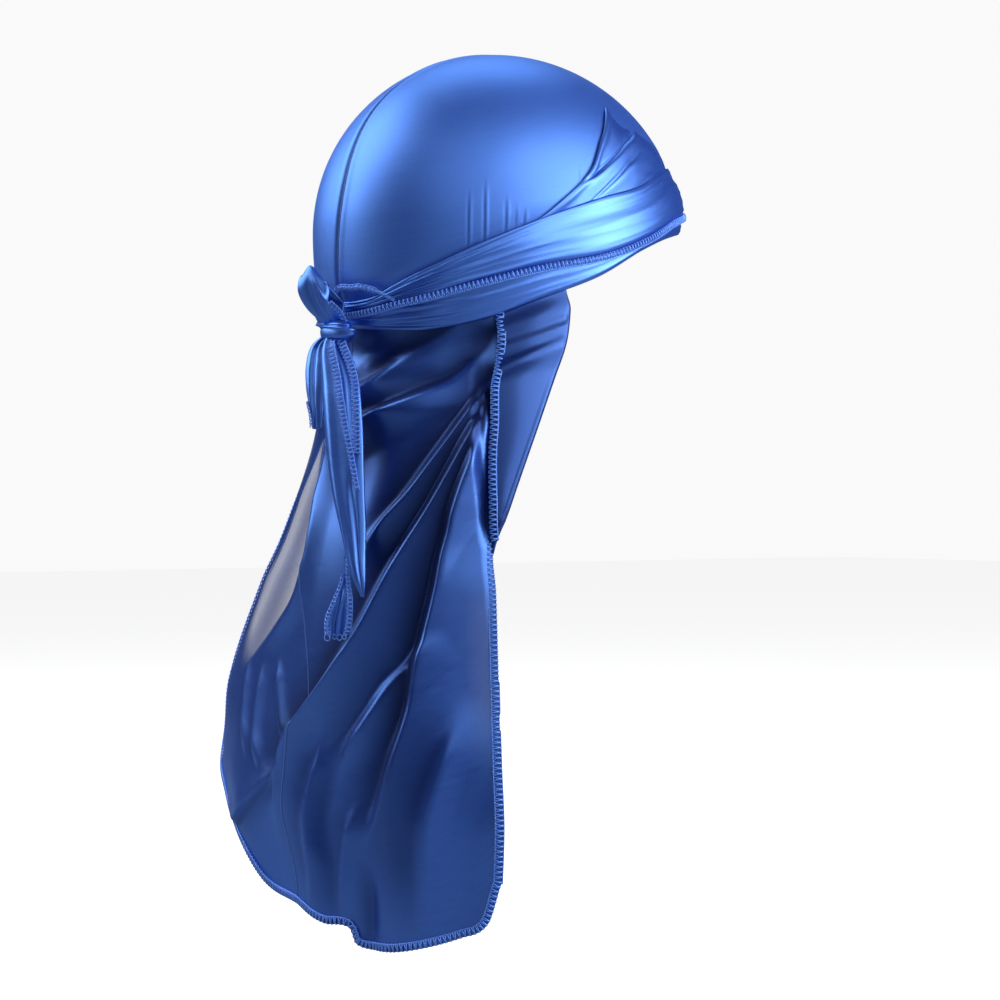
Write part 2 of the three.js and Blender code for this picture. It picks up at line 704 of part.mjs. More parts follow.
function tail(path, length, widest, side) {
  const top = knotPlace.z - knotHeight / 2 - layerGap * 0.5;
  const lift = tailWall / 2 + layerGap * 3;
  const rings = [];
  const steps = Math.round(length / tailStep);
  for (let step = 0; step <= steps; step += 1) {
    const along = step / steps;
    const z = top - along * length;
    const across = read(path, 'along', 'across', along);
    const width = read(path, 'along', 'width', along) * widest;
    const cloth = capeBase(1, z).distanceTo(capeBase(0, z));
    const settle = smooth(along * length, 0, knotHeight * 2.5);
    const crests = [-0.5, -0.25, 0, 0.25, 0.5].map((u) => foldLift(across + u * width / cloth, z));
    const centre = onCape(across, z, lift + Math.max(...crests) - foldLift(across, z));
    const hung = new THREE.Vector3(knotPlace.x - side * widest * tailApart, knotPlace.y, z);
    centre.point.lerp(hung, 1 - settle);
    const wide = onCape(across + 0.02, z, 0).point.sub(onCape(across - 0.02, z, 0).point).normalize();
    rings.push(tailSection.map(([u, w]) => {
      const corner = centre.point.clone().addScaledVector(wide, u * width);
      return corner.addScaledVector(centre.normal, w * tailWall);
    }));
  }
  return loft(rings);
}

// Assembly

const satin = { color: 0x2f58bd, roughness: 0.36, metalness: 0.15 };
const satinInside = { color: 0x1f3f9a, roughness: 0.42, metalness: 0.12 };
const thread = { color: 0x3a6ad2, roughness: 0.55, metalness: 0.05 };

const durag = new THREE.Group();

function add(name, geometry, finish) {
  const mesh = new THREE.Mesh(geometry, new THREE.MeshStandardMaterial(finish));
  mesh.name = name;
  durag.add(mesh);
}

add('crown_panel_right', crownPanel(1), satin);
add('crown_panel_left', crownPanel(-1), satin);
add('crown_seam', crownSeam(), thread);
add('strap_root_right', strapRoot(1), satin);
add('strap_root_left', strapRoot(-1), satin);
add('strap_wrap_left', wrappedStrap(false), satin);
add('strap_wrap_right', wrappedStrap(true), satin);
add('cape_panel_right', capePanel(1), satin);
add('cape_panel_left', capePanel(-1), satin);
add('cape_seam', capeSeam(), thread);
add('strap_knot', knot(), satinInside);
add('bow_loop', bowLoop(), satin);
add('bow_strand', strand(), thread);
add('tail_long', tail(tailPath, tailLength, tailWidth, 1), satin);
add('tail_short', tail(shortTailPath, shortTailLength, shortTailWidth, -1), satin);

export default durag;
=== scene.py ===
import bmesh
import bpy
import numpy as np
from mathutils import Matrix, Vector


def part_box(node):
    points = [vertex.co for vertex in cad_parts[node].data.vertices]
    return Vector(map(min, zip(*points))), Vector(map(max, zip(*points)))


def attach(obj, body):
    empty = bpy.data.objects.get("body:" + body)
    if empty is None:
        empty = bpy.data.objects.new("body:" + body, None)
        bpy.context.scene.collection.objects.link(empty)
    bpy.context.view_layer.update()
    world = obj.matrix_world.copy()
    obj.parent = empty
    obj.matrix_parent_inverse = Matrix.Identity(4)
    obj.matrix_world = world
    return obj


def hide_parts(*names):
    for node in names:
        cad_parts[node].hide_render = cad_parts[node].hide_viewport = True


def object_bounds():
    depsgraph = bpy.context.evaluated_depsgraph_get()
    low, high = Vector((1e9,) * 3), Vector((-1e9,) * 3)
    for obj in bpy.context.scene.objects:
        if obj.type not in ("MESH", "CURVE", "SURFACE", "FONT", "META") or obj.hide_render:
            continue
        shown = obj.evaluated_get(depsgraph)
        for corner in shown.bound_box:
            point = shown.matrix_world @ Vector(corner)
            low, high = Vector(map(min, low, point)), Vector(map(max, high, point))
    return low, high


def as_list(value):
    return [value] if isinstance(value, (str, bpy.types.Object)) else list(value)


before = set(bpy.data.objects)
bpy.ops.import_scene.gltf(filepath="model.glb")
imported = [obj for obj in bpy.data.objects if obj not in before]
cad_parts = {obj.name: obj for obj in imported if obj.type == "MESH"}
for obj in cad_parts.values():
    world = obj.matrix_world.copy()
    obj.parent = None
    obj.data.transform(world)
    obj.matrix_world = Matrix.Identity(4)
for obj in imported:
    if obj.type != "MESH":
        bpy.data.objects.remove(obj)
cadLow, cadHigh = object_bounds()
print("frame loaded")

# The durag's shared sizes, in metres. The crown's widest ring is at height 0 and the front is toward -Y.
# A turn is an angle about +Z: 0 at the back, 90 at the wearer's right and 180 at the front.
durag = {
    "width": 0.158,
    "length": 0.194,
    "height": 0.090,
    "capeDrop": 0.338,
    "strapWidth": 0.040,
    "strapLap": 0.007,
    "clothWall": 0.0008,
    "wrapSink": 0.0024,
    "napeTaper": 0.10,
    "frontLevel": 0.19,
    "frontFall": 0.03,
    "rimShare": 0.3,  # where the crown's and the cape's edges lie under the wraps
    "rimTuck": 0.0006,
}
halfWidth = durag["width"] / 2
halfLength = durag["length"] / 2
crownHeight = durag["height"]
capeDrop = durag["capeDrop"]
wall = durag["clothWall"]
napeSpan = crownHeight * 2 / 3
wallLevel = {"root": 0.0011, "inner": 0.0026, "outer": 0.0046}


# A chart holds named columns; the first column is the place that the others are read at
def chart(columns, *rows):
    return dict(zip(columns.split(), np.array(rows, float).T))


# One column of a chart at places along its first column, on a smooth curve through its rows
def readChart(table, column, at):
    places = next(iter(table.values()))
    values = table[column]
    at = np.clip(at, places[0], places[-1])
    last = len(places) - 1
    row = np.clip(np.searchsorted(places, at, side="right") - 1, 0, last - 1)
    before = np.maximum(np.arange(last + 1) - 1, 0)
    after = np.minimum(np.arange(last + 1) + 1, last)
    slopes = (values[after] - values[before]) / (places[after] - places[before])
    span = places[row + 1] - places[row]
    t = (at - places[row]) / span
    rise = (1 + 2 * t) * (1 - t) ** 2 * values[row] + t * t * (3 - 2 * t) * values[row + 1]
    return rise + t * (1 - t) ** 2 * span * slopes[row] + t * t * (t - 1) * span * slopes[row + 1]


def ease(value, start, end):
    t = np.clip((value - start) / (end - start), 0, 1)
    return t * t * (3 - 2 * t)


def bell(value):
    return np.exp(-value * value)


def blend(start, end, share):
    return start + (end - start) * share


def unit(vectors):
    return vectors / np.maximum(np.linalg.norm(vectors, axis=-1, keepdims=True), 1e-12)


def stack(x, y, z):
    return np.stack(np.broadcast_arrays(x, y, z), axis=-1)


# The wraps by turn: the height of their middle as a share of the crown's, their width as a share
# of strapWidth, and the stitched edge of the upper strap as a share of that width
wraps = chart(
    "turn middle width stitch",
    (0, -0.467, 0.30, 0.57),
    (18, -0.467, 0.37, 0.70),
    (36, -0.409, 0.66, 0.60),
    (54, -0.315, 0.87, 0.53),
    (72, -0.189, 0.93, 0.42),
    (90, -0.069, 0.93, 0.29),
    (108, 0.058, 0.78, 0.20),
    (126, 0.167, 0.82, 0.26),
    (153, 0.233, 0.82, 0.32),
    (180, 0.250, 0.82, 0.34),
)


def wrapAt(turn):
    side = np.where(turn > 180, 360 - turn, np.abs(turn))
    width = readChart(wraps, "width", side) * durag["strapWidth"]
    low = readChart(wraps, "middle", side) * crownHeight - width / 2
    stitch = low + readChart(wraps, "stitch", side) * width
    return {"top": low + width, "stitch": stitch, "low": low, "rim": low + durag["rimShare"] * width}


# The crown's form

def ringShare(z):
    above = np.sqrt(np.clip(1 - (z / crownHeight) ** 2, 0, None))
    return np.where(z >= 0, above, 1 - durag["napeTaper"] * (z / napeSpan) ** 2)


def ringSlope(z):
    below = -2 * durag["napeTaper"] * z / napeSpan ** 2 * ringShare(z)
    return np.where(z >= 0, -z / crownHeight ** 2, below)


# A point on the crown's cloth and its normal there, raised by a lift
def onCrown(turn, z, lift=0.0):
    angle = np.radians(turn)
    share = ringShare(z)
    level = durag["frontLevel"] * crownHeight
    below = np.clip((level - z) / level, 0, 1.6)
    front = np.clip(-np.cos(angle), 0, None) ** 2
    fall = durag["frontFall"] * halfLength * below ** 1.5 * front
    point = stack(-halfWidth * share * np.sin(angle), halfLength * share * np.cos(angle) + fall, z)
    normal = unit(stack(
        -share * np.sin(angle) / halfWidth,
        share * np.cos(angle) / halfLength,
        -ringSlope(z),
    ))
    sink = durag["wrapSink"]
    pressed = ease(wrapAt(turn)["top"] + sink * 4 - z, 0, sink * 7)
    return point + normal * (lift - sink * pressed)[..., None], normal


# The cape's form: level sections, as shares of capeDrop, halfLength and halfWidth
capeSections = chart(
    "drop back seam rightOut rightBack rightRound leftOut leftBack leftRound",
    (0.118, 0.959, 0.000, 0.950, 0.170, 1.00, 0.848, 0.495, 1.00),
    (0.177, 0.969, 0.000, 0.965, 0.235, 1.00, 0.873, 0.505, 0.90),
    (0.271, 1.021, 0.000, 1.020, 0.400, 0.95, 0.975, 0.546, 0.45),
    (0.383, 1.103, -0.025, 1.022, 0.565, 0.90, 1.190, 0.619, 0.30),
    (0.445, 1.134, -0.038, 1.015, 0.640, 0.95, 1.305, 0.660, 0.35),
    (0.507, 1.155, -0.038, 1.068, 0.655, 1.00, 1.435, 0.711, 0.50),
    (0.655, 1.175, 0.063, 1.177, 0.701, 1.00, 1.730, 0.765, 1.00),
    (0.737, 1.216, -0.025, 1.240, 0.727, 1.00, 1.765, 0.755, 1.00),
    (0.811, 1.247, -0.076, 1.278, 0.737, 1.00, 1.750, 0.745, 1.00),
    (0.900, 1.227, 0.025, 1.259, 0.737, 1.00, 1.670, 0.730, 1.00),
    (1.018, 1.206, 0.038, 1.228, 0.732, 1.00, 1.600, 0.722, 1.00),
)

# The hem from the left edge (-1) over the seam (0) to the right edge (1)
hem = chart(
    "across drop",
    (-1, 0.640),
    (-0.93, 0.722),
    (-0.8, 0.775),
    (-0.6, 0.815),
    (-0.4, 0.864),
    (-0.2, 0.924),
    (0, 0.938),
    (0.2, 0.955),
    (0.315, 0.958),
    (0.345, 0.980),
    (0.46, 0.985),
    (0.63, 0.978),
    (0.84, 0.960),
    (0.95, 0.940),
    (1, 0.885),
)

# The cape's folds, each with its height and the breadths of its lit flank, below and to the right, and of
# its steep flank, in millimetres, then the line of its crest: places across and down the cape
foldFields = ("lift", "flank", "steep", "line")
capeFolds = [dict(zip(foldFields, fold)) for fold in (
    (6.2, 8.5, 3.0,
     ((0.66, 0.118), (0.6, 0.146), (0.49, 0.169), (0.33, 0.194), (0.17, 0.225), (0.02, 0.25), (-0.16, 0.268),
      (-0.34, 0.28))),
    (1.5, 3.5, 2.0,
     ((0.44, 0.158), (0.325, 0.173), (0.15, 0.19), (0.0, 0.205))),
    (5.0, 9.5, 2.6,
     ((0.78, 0.135), (0.725, 0.176), (0.66, 0.199), (0.595, 0.223), (0.51, 0.237), (0.4, 0.252),
      (0.22, 0.274), (0.05, 0.3), (-0.12, 0.32))),
    (6.0, 8.0, 2.6,
     ((0.8, 0.185), (0.775, 0.229), (0.735, 0.26), (0.68, 0.302), (0.63, 0.338), (0.575, 0.374),
      (0.495, 0.409), (0.42, 0.442), (0.34, 0.475))),
    (9.0, 12.0, 3.0,
     ((0.84, 0.205), (0.805, 0.26), (0.77, 0.3), (0.74, 0.344), (0.7, 0.392), (0.64, 0.44), (0.56, 0.483),
      (0.415, 0.555), (0.24, 0.615), (0.015, 0.691), (-0.035, 0.743), (-0.04, 0.8), (-0.03, 0.87))),
    (3.0, 7.0, 3.2,
     ((0.8, 0.56), (0.685, 0.586), (0.59, 0.612), (0.49, 0.643), (0.395, 0.684), (0.335, 0.724),
      (0.29, 0.78))),
    (8.4, 15.0, 3.0,
     ((0.86, 0.215), (0.83, 0.276), (0.82, 0.32), (0.812, 0.362), (0.81, 0.4), (0.815, 0.435), (0.79, 0.475),
      (0.745, 0.527), (0.66, 0.615), (0.59, 0.714), (0.53, 0.792), (0.47, 0.845), (0.44, 0.9))),
    (2.4, 6.0, 2.6,
     ((0.22, 0.66), (0.185, 0.745), (0.17, 0.8), (0.15, 0.87), (0.12, 0.95))),
    (2.2, 6.0, 3.0,
     ((0.43, 0.78), (0.36, 0.84), (0.31, 0.9), (0.3, 0.97))),
    (3.0, 9.0, 5.0,
     ((0.9, 0.64), (0.8, 0.72), (0.73, 0.8), (0.7, 0.87), (0.68, 0.97))),
    (1.7, 3.0, 1.2,
     ((-0.5, 0.6), (-0.47, 0.65), (-0.42, 0.7), (-0.3, 0.755))),
    (1.7, 3.0, 1.2,
     ((-0.34, 0.6), (-0.33, 0.66), (-0.28, 0.72), (-0.16, 0.775))),
    (1.6, 2.8, 1.1,
     ((-0.2, 0.6), (-0.19, 0.64), (-0.13, 0.69), (-0.05, 0.725))),
    (2.2, 5.0, 2.0,
     ((-0.62, 0.8), (-0.42, 0.84), (-0.26, 0.812), (-0.12, 0.772), (0.0, 0.74))),
    (2.2, 6.0, 1.8,
     ((-0.03, 0.3), (0.03, 0.42), (-0.03, 0.5), (-0.25, 0.565), (-0.56, 0.635))),
    (1.6, 4.0, 3.0,
     ((-0.3, 0.33), (-0.45, 0.42), (-0.66, 0.52))),
)]

# Soft flutes that hang down the lower cape, strongest at the hem: place, breadth and height in mm
capeFlutes = chart(
    "across breadth lift",
    (-0.82, 13, 2.0),
    (-0.58, 13, -2.0),
    (-0.34, 12, 2.0),
    (-0.12, 11, -1.6),
    (0.16, 11, 2.2),
    (0.38, 11, -2.4),
    (0.62, 12, 2.2),
    (0.84, 12, -1.6),
)
clothAcross = durag["width"] * 0.6  # cloth in one unit across the cape


def capeBase(across, z):
    drop = -z / capeDrop
    right = across >= 0
    side = {}
    for name in ("Out", "Back", "Round"):
        onRight = readChart(capeSections, "right" + name, drop)
        onLeft = readChart(capeSections, "left" + name, drop)
        side[name] = np.where(right, onRight, onLeft)
    out = side["Out"] * halfWidth
    edgeBack = side["Back"] * halfLength
    back = readChart(capeSections, "back", drop) * halfLength
    share = np.abs(across)
    edgeAngle = np.arccos(edgeBack / back)
    radius = out / np.sin(edgeAngle)
    x = blend(out * share, radius * np.sin(share * edgeAngle), side["Round"])
    y = blend(blend(back, edgeBack, share), back * np.cos(share * edgeAngle), side["Round"])
    shift = readChart(capeSections, "seam", drop) * halfWidth * (1 - share)
    return stack(np.where(right, -x, x) - shift, y, z)


def capeNormal(across, z):
    stepAcross = 0.02
    stepDown = 0.002
    along = capeBase(across + stepAcross, z) - capeBase(across - stepAcross, z)
    down = capeBase(across, z - stepDown) - capeBase(across, z + stepDown)
    return unit(np.cross(down, along))


def foldLine(fold):
    knots = np.array(fold["line"]) * (clothAcross, capeDrop)
    line = {"at": np.arange(float(len(knots))), "x": knots[:, 0], "y": knots[:, 1]}
    steps = np.linspace(0, len(knots) - 1, len(knots) * 12)
    return np.stack([readChart(line, "x", steps), readChart(line, "y", steps)], -1)


foldLines = [foldLine(fold) for fold in capeFolds]


# The distance from each place to a line, signed by the side, and how far along the line it falls
def fromLine(place, line):
    away = np.full(len(place), np.inf)
    signed = np.zeros(len(place))
    along = np.zeros(len(place))
    for step, (start, end) in enumerate(zip(line[:-1], line[1:])):
        run = end - start
        gap = place - start
        share = np.clip(gap @ run / (run @ run), 0, 1)
        reach = np.hypot(*(gap - share[:, None] * run).T)
        closer = reach < away
        side = np.sign(run[0] * gap[:, 1] - run[1] * gap[:, 0])
        away[closer] = reach[closer]
        signed[closer] = (side * reach)[closer]
        along[closer] = ((step + share) / (len(line) - 1))[closer]
    return signed, along


# The turned edge's width down the cape, as the photo shows it
turnedEdge = chart(
    "drop width",
    (0.110, 0.0350),
    (0.143, 0.0340),
    (0.178, 0.0325),
    (0.223, 0.0270),
    (0.278, 0.0200),
    (0.319, 0.0158),
    (0.384, 0.0080),
    (0.425, 0.0030),
    (0.450, 0),
)

# Broad hollows in the cape's cloth: place across and down, breadths each way and depth in millimetres; each
# hollow also gets painted shade
capeHollows = chart(
    "across drop wide tall depth",
    (0.26, 0.165, 26, 9, -3.2),
    (0.22, 0.330, 17, 22, -4.0),
    (0.30, 0.213, 20, 5, -1.8),
    (0.60, 0.600, 8, 34, -1.6),
    (0.42, 0.930, 5, 24, -2.2),
    (0.50, 0.800, 5, 26, -1.4),
    (0.24, 0.800, 5, 26, -1.6),
)

# The form that all folds share: breadths in those of the fold's own flanks, heights in millimetres
foldForms = {
    "reach": 1.8,  # how far the lit flank runs out
    # The valley's place and breadths set where a fold's painted shade lies
    "valleyAt": 1.2,  # how far the valley lies beyond the crest, and how broad it is on each side
    "valleyFar": 4.2,
    "valleyNear": 0.7,
    "openHeight": 4,  # folds higher than this start under the turned edge, so they rise at once
    "openFade": 0.06,
    "fade": 0.30,
    "endFade": 0.70,
    "roundOver": 0.35,  # a crest is rounded over its last millimetre
    "roundOff": 0.59,
    "fullShade": 5,  # the height at which a valley gets full painted shade, and the depth at which a hollow does
    "pitShade": 4,
    "flutesFrom": 0.62,
}


# How far the folds raise the cape's cloth, in metres, and how much painted shade each place gets for lying
# deep in a fold's valley or a hollow
def foldForm(across, z):
    place = np.stack(np.broadcast_arrays(across * clothAcross, -z), -1)
    shape = place.shape[:-1]
    place = place.reshape(-1, 2)
    lift = np.zeros(len(place))
    shade = np.zeros(len(place))
    for fold, line in zip(capeFolds, foldLines):
        reach = max(fold["flank"] * foldForms["reach"], fold["steep"] * 7) / 1000
        near = ((place > line.min(axis=0) - reach) & (place < line.max(axis=0) + reach)).all(axis=1)
        signed, along = fromLine(place[near], line)
        signed = -signed * 1000
        away = np.sqrt(signed ** 2 + foldForms["roundOver"]) - foldForms["roundOff"]
        rising = foldForms["openFade"] if fold["lift"] > foldForms["openHeight"] else foldForms["fade"]
        fade = ease(along, 0, rising) * (1 - ease(along, foldForms["endFade"], 1))
        lit = np.clip(1 - away / fold["flank"] / foldForms["reach"], 0, 1) ** 1.5
        lift[near] += fold["lift"] * fade * np.where(signed > 0, lit, bell(away / fold["steep"]))
        # Painted shade in the valley beside the steep flank of each fold
        beside = signed + fold["steep"] * foldForms["valleyAt"]
        spread = np.where(beside < 0, foldForms["valleyFar"], foldForms["valleyNear"])
        valley = bell(beside / fold["steep"] / spread)
        deep = np.clip(fold["lift"] / foldForms["fullShade"], 0, 1)
        shade[near] = np.maximum(shade[near], valley * fade * deep)
    flat = place[:, 0] / clothAcross
    drop = place[:, 1] / capeDrop
    covered = flat - 1 + readChart(turnedEdge, "width", drop) / clothAcross
    lift *= 1 - 0.5 * ease(covered, -0.05, 0) - 0.4 * ease(covered, 0, 0.06)
    for middle, breadth, height in zip(*capeFlutes.values()):
        flute = bell((flat - middle) * clothAcross * 1000 / breadth)
        lift += height * ease(drop, foldForms["flutesFrom"], 1) * flute
    for middle, low, wide, tall, depth in zip(*capeHollows.values()):
        pit = bell((flat - middle) * clothAcross * 1000 / wide)
        pit = pit * bell((drop - low) * capeDrop * 1000 / tall)
        lift += depth * pit
        # A hollow gets painted shade by its depth
        shade = np.maximum(shade, -depth * pit / foldForms["pitShade"])
    return lift.reshape(shape) / 1000, shade.reshape(shape)


def capeTurn(across):
    right = np.degrees(np.arccos(capeSections["rightBack"][0] / capeSections["back"][0]))
    left = np.degrees(np.arccos(capeSections["leftBack"][0] / capeSections["back"][0]))
    return across * np.where(across >= 0, right, left)


# A point on the cape's outside and its normal; under the wraps it follows the crown's form
def onCape(across, z, lift=0.0, folded=True):
    across, z = np.broadcast_arrays(np.asarray(across, float), np.asarray(z, float))
    turn = capeTurn(across)
    freed = ease(wrapAt(turn)["low"] - z, 0, durag["strapWidth"])
    crownPoint, crownNormal = onCrown(turn, np.minimum(z, -0.001))
    normal = unit(blend(crownNormal, capeNormal(across, z), freed[..., None]))
    point = blend(crownPoint, capeBase(across, z), freed[..., None])
    folds = foldForm(across, z)[0] * freed if folded else 0 * freed
    return point + normal * (lift + folds)[..., None], normal


def capeHeight(across, down):
    top = wrapAt(capeTurn(across))["rim"] - durag["rimTuck"]
    end = -readChart(hem, "drop", across) * capeDrop
    return blend(top, end, down)


# Material maths: a Wire is a socket, and an expression on wires adds Math nodes

class Wire:
    def __init__(self, finish, socket):
        self.finish = finish
        self.socket = socket

    def math(self, operation, first, second):
        return self.finish.node("ShaderNodeMath", {"operation": operation}, {0: first, 1: second})

    def __add__(self, other):
        return self.math("ADD", self, other)

    def __radd__(self, other):
        return self.math("ADD", other, self)

    def __sub__(self, other):
        return self.math("SUBTRACT", self, other)

    def __rsub__(self, other):
        return self.math("SUBTRACT", other, self)

    def __mul__(self, other):
        return self.math("MULTIPLY", self, other)

    def __rmul__(self, other):
        return self.math("MULTIPLY", other, self)


class Finish:
    def __init__(self, name):
        self.material = bpy.data.materials.new(name)
        self.material.use_nodes = True
        self.tree = self.material.node_tree
        self.tree.nodes.clear()

    # Any node: its settings first, then its sockets' values or links
    def node(self, kind, settings=None, sockets=None, output=0):
        made = self.tree.nodes.new(kind)
        for key, value in (settings or {}).items():
            setattr(made, key, value)
        for key, value in (sockets or {}).items():
            if isinstance(value, Wire):
                self.tree.links.new(value.socket, made.inputs[key])
            else:
                made.inputs[key].default_value = value
        return Wire(self, made.outputs[output]) if made.outputs else None

    def mixColour(self, share, first, second):
        return self.node("ShaderNodeMix", {"data_type": "RGBA"}, {0: share, 6: first, 7: second}, 2)

    # A noise on the piece's own cloth, stretched by a scale for each direction
    def clothNoise(self, coordinates, scale, detail=2.0):
        placed = self.node("ShaderNodeMapping", {}, {"Vector": coordinates, "Scale": scale})
        return self.node("ShaderNodeTexNoise", {}, {"Vector": placed, "Scale": 1.0, "Detail": detail})

    def close(self, shader):
        self.node("ShaderNodeOutputMaterial", {}, {"Surface": shader})
        return self.material


satin = {
    "deep": (0.006, 0.034, 0.36, 1),
    "royal": (0.012, 0.062, 0.50, 1),
    "shine": (0.140, 0.320, 0.78, 1),
    "darkTone": (0.062, 0.172, 0.61, 1),
    # The near-black colour that painted shade darkens the cape's cloth toward
    "hollow": (0.001, 0.007, 0.075, 1),
    "shineShare": 0.66,
    "roughness": 0.37,
    "weave": (1100, 3000, 1),
    "slub": (90, 420, 1),
    "soft": (14, 22, 1),
    "bump": 0.12,
    "bumpDepth": 0.0003,
    # Painted shade on the cape: how much shine it takes away, and how far it pushes the sheen's colour
    # toward the shade colour
    "shadeShineLoss": 0.25,  # how much of its shine and of its sheen's colour the cape's cloth loses in a valley
    "shadeSheenLoss": 0.94,
}


# Satin: a bright sheen that mirrors softly, mixed with the deep blue of the cloth's own colour
def makeSatin(name, cape=False, rough=0.0):
    finish = Finish(name)
    cloth = finish.node("ShaderNodeUVMap", {"uv_map": "cloth"})
    weave = finish.clothNoise(cloth, satin["weave"], 1.0)
    slub = finish.clothNoise(cloth, satin["slub"])
    soft = finish.clothNoise(cloth, satin["soft"])
    shade = weave * 0.6 + slub * 0.3 + soft * 0.3 - 0.1
    body = finish.mixColour(shade, satin["deep"], satin["royal"])
    sheen = finish.mixColour(shade, satin["darkTone"], satin["shine"])
    share = 1.0
    # On the cape the shade attribute is painted shade: it darkens the cloth's colour and its sheen toward
    # the shade colour and takes away some of the shine
    if cape:
        depth = finish.node("ShaderNodeAttribute", {"attribute_name": "shade"}, {}, 2)
        share = 1 - depth * satin["shadeShineLoss"]
        body = finish.mixColour(depth, body, satin["hollow"])
        sheen = finish.mixColour(depth * satin["shadeSheenLoss"], sheen, satin["hollow"])
    relief = weave * 0.6 + slub * 0.8
    bump = finish.node(
        "ShaderNodeBump", {}, {"Strength": satin["bump"], "Distance": satin["bumpDepth"], "Height": relief})
    roughness = satin["roughness"] + rough + (slub - 0.5) * 0.10 + (weave - 0.5) * 0.12
    sockets = {"Normal": bump, "Roughness": roughness}
    if cape:
        sockets["Alpha"] = 1 - finish.node("ShaderNodeAttribute", {"attribute_name": "sheer"}, {}, 2)
    mirror = finish.node("ShaderNodeBsdfPrincipled", {}, {
        **sockets, "Base Color": sheen, "Metallic": 1.0, "Specular Tint": (0.45, 0.68, 1.0, 1)})
    matt = finish.node("ShaderNodeBsdfPrincipled", {}, {
        **sockets,
        "Base Color": body,
        "Roughness": roughness + 0.12,
        "IOR": 1.5,
        "Specular IOR Level": 0.4,
        "Specular Tint": (0.55, 0.75, 1.0, 1),
        "Sheen Weight": 0.12,
        "Sheen Roughness": 0.4,
        "Sheen Tint": (0.4, 0.6, 1.0, 1),
    })
    mixed = finish.node("ShaderNodeMixShader", {}, {0: share * satin["shineShare"], 1: matt, 2: mirror})
    return finish.close(mixed)


thread = {
    "dark": (0.045, 0.150, 0.62, 1),
    "light": (0.140, 0.34, 0.95, 1),
    "grain": (1500, 1500, 1500),
}


def makeThread(name, shade=1.0):
    finish = Finish(name)
    place = finish.node("ShaderNodeTexCoord", {}, {}, 3)
    grain = finish.clothNoise(place, thread["grain"])
    dark = tuple(part * shade for part in thread["dark"][:3]) + (1,)
    light = tuple(part * shade for part in thread["light"][:3]) + (1,)
    colour = finish.mixColour(grain, dark, light)
    bump = finish.node("ShaderNodeBump", {}, {"Strength": 0.3, "Distance": 0.0002, "Height": grain})
    return finish.close(finish.node("ShaderNodeBsdfPrincipled", {}, {
        "Base Color": colour,
        "Metallic": 0.35,
        "Roughness": 0.42,
        "Normal": bump,
        "Sheen Weight": 0.2,
        "Sheen Roughness": 0.4,
    }))


satinCloth = makeSatin("satin cloth")
satinTaut = makeSatin("taut satin cloth", rough=0.09)
satinCape = makeSatin("satin cloth of the cape", cape=True, rough=-0.05)
threadBlue = makeThread("overlock thread")
threadDark = makeThread("seam thread", 0.35)
seamBlue = makeThread("cape seam", 0.6)
print("materials made")


def addPiece(name, data):
    piece = bpy.data.objects.new(name, data)
    bpy.context.scene.collection.objects.link(piece)
    return piece


def readVertices(mesh, field):
    values = np.zeros(len(mesh.vertices) * 3)
    mesh.vertices.foreach_get(field, values)
    return values.reshape(-1, 3)


# The cloth's own flat place at each vertex, in metres, kept as a UV map
def layCloth(mesh, flat):
    corners = np.zeros(len(mesh.loops), int)
    mesh.loops.foreach_get("vertex_index", corners)
    layer = mesh.uv_layers.new(name="cloth")
    layer.data.foreach_set("uv", flat[corners].astype(np.float32).ravel())


# A sheet of cloth: a grid whose vertices go where place(u, v) says, with a wall inward
def makeSheet(name, nodes, columns, rows, place, cut, finish, closed=False, attributes=None):
    grid = bmesh.new()
    bmesh.ops.create_grid(grid, x_segments=columns, y_segments=rows, size=0.5, calc_uvs=False)
    mesh = bpy.data.meshes.new(name)
    grid.to_mesh(mesh)
    grid.free()
    u, v, _ = readVertices(mesh, "co").T + 0.5
    points, normals = place(u, v)
    mesh.vertices.foreach_set("co", points.astype(np.float32).ravel())
    layCloth(mesh, np.stack([u * cut[0], v * cut[1]], -1))
    for key, values in (attributes or {}).items():
        layer = mesh.attributes.new(key, "FLOAT", "POINT")
        layer.data.foreach_set("value", values(u, v).astype(np.float32))
    mesh.update()
    if (readVertices(mesh, "normal") * normals).sum() < 0:
        mesh.flip_normals()
    if closed:
        joined = bmesh.new()
        joined.from_mesh(mesh)
        bmesh.ops.remove_doubles(joined, verts=joined.verts, dist=1e-6)
        joined.to_mesh(mesh)
        joined.free()
    mesh.shade_smooth()
    piece = addPiece(name, mesh)
    shell = piece.modifiers.new("wall", "SOLIDIFY")
    shell.thickness = wall
    shell.offset = -1
    finishPiece(piece, nodes, finish)
    return piece


def finishPiece(piece, nodes, finish):
    piece.data.materials.clear()
    piece.data.materials.append(finish)
    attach(piece, "root")
    if nodes:
        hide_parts(*nodes)
    print("made", piece.name)


# Threads: runs of points as tubes in one mesh
def makeThreads(name, runs, radius, finish, nodes=(), sides=1):
    line = bpy.data.curves.new(name, "CURVE")
    line.dimensions = "3D"
    line.bevel_depth = radius
    line.bevel_resolution = sides
    line.use_fill_caps = True
    for run in runs:
        spline = line.splines.new("POLY")
        spline.points.add(len(run) - 1)
        places = np.hstack([run, np.ones((len(run), 1))])
        spline.points.foreach_set("co", places.astype(np.float32).ravel())
    drawn = addPiece(name + "Line", line)
    bpy.context.view_layer.update()
    mesh = bpy.data.meshes.new_from_object(drawn.evaluated_get(bpy.context.evaluated_depsgraph_get()))
    bpy.data.objects.remove(drawn)
    mesh.name = name
    mesh.shade_smooth()
    piece = addPiece(name, mesh)
    finishPiece(piece, nodes, finish)
    return piece


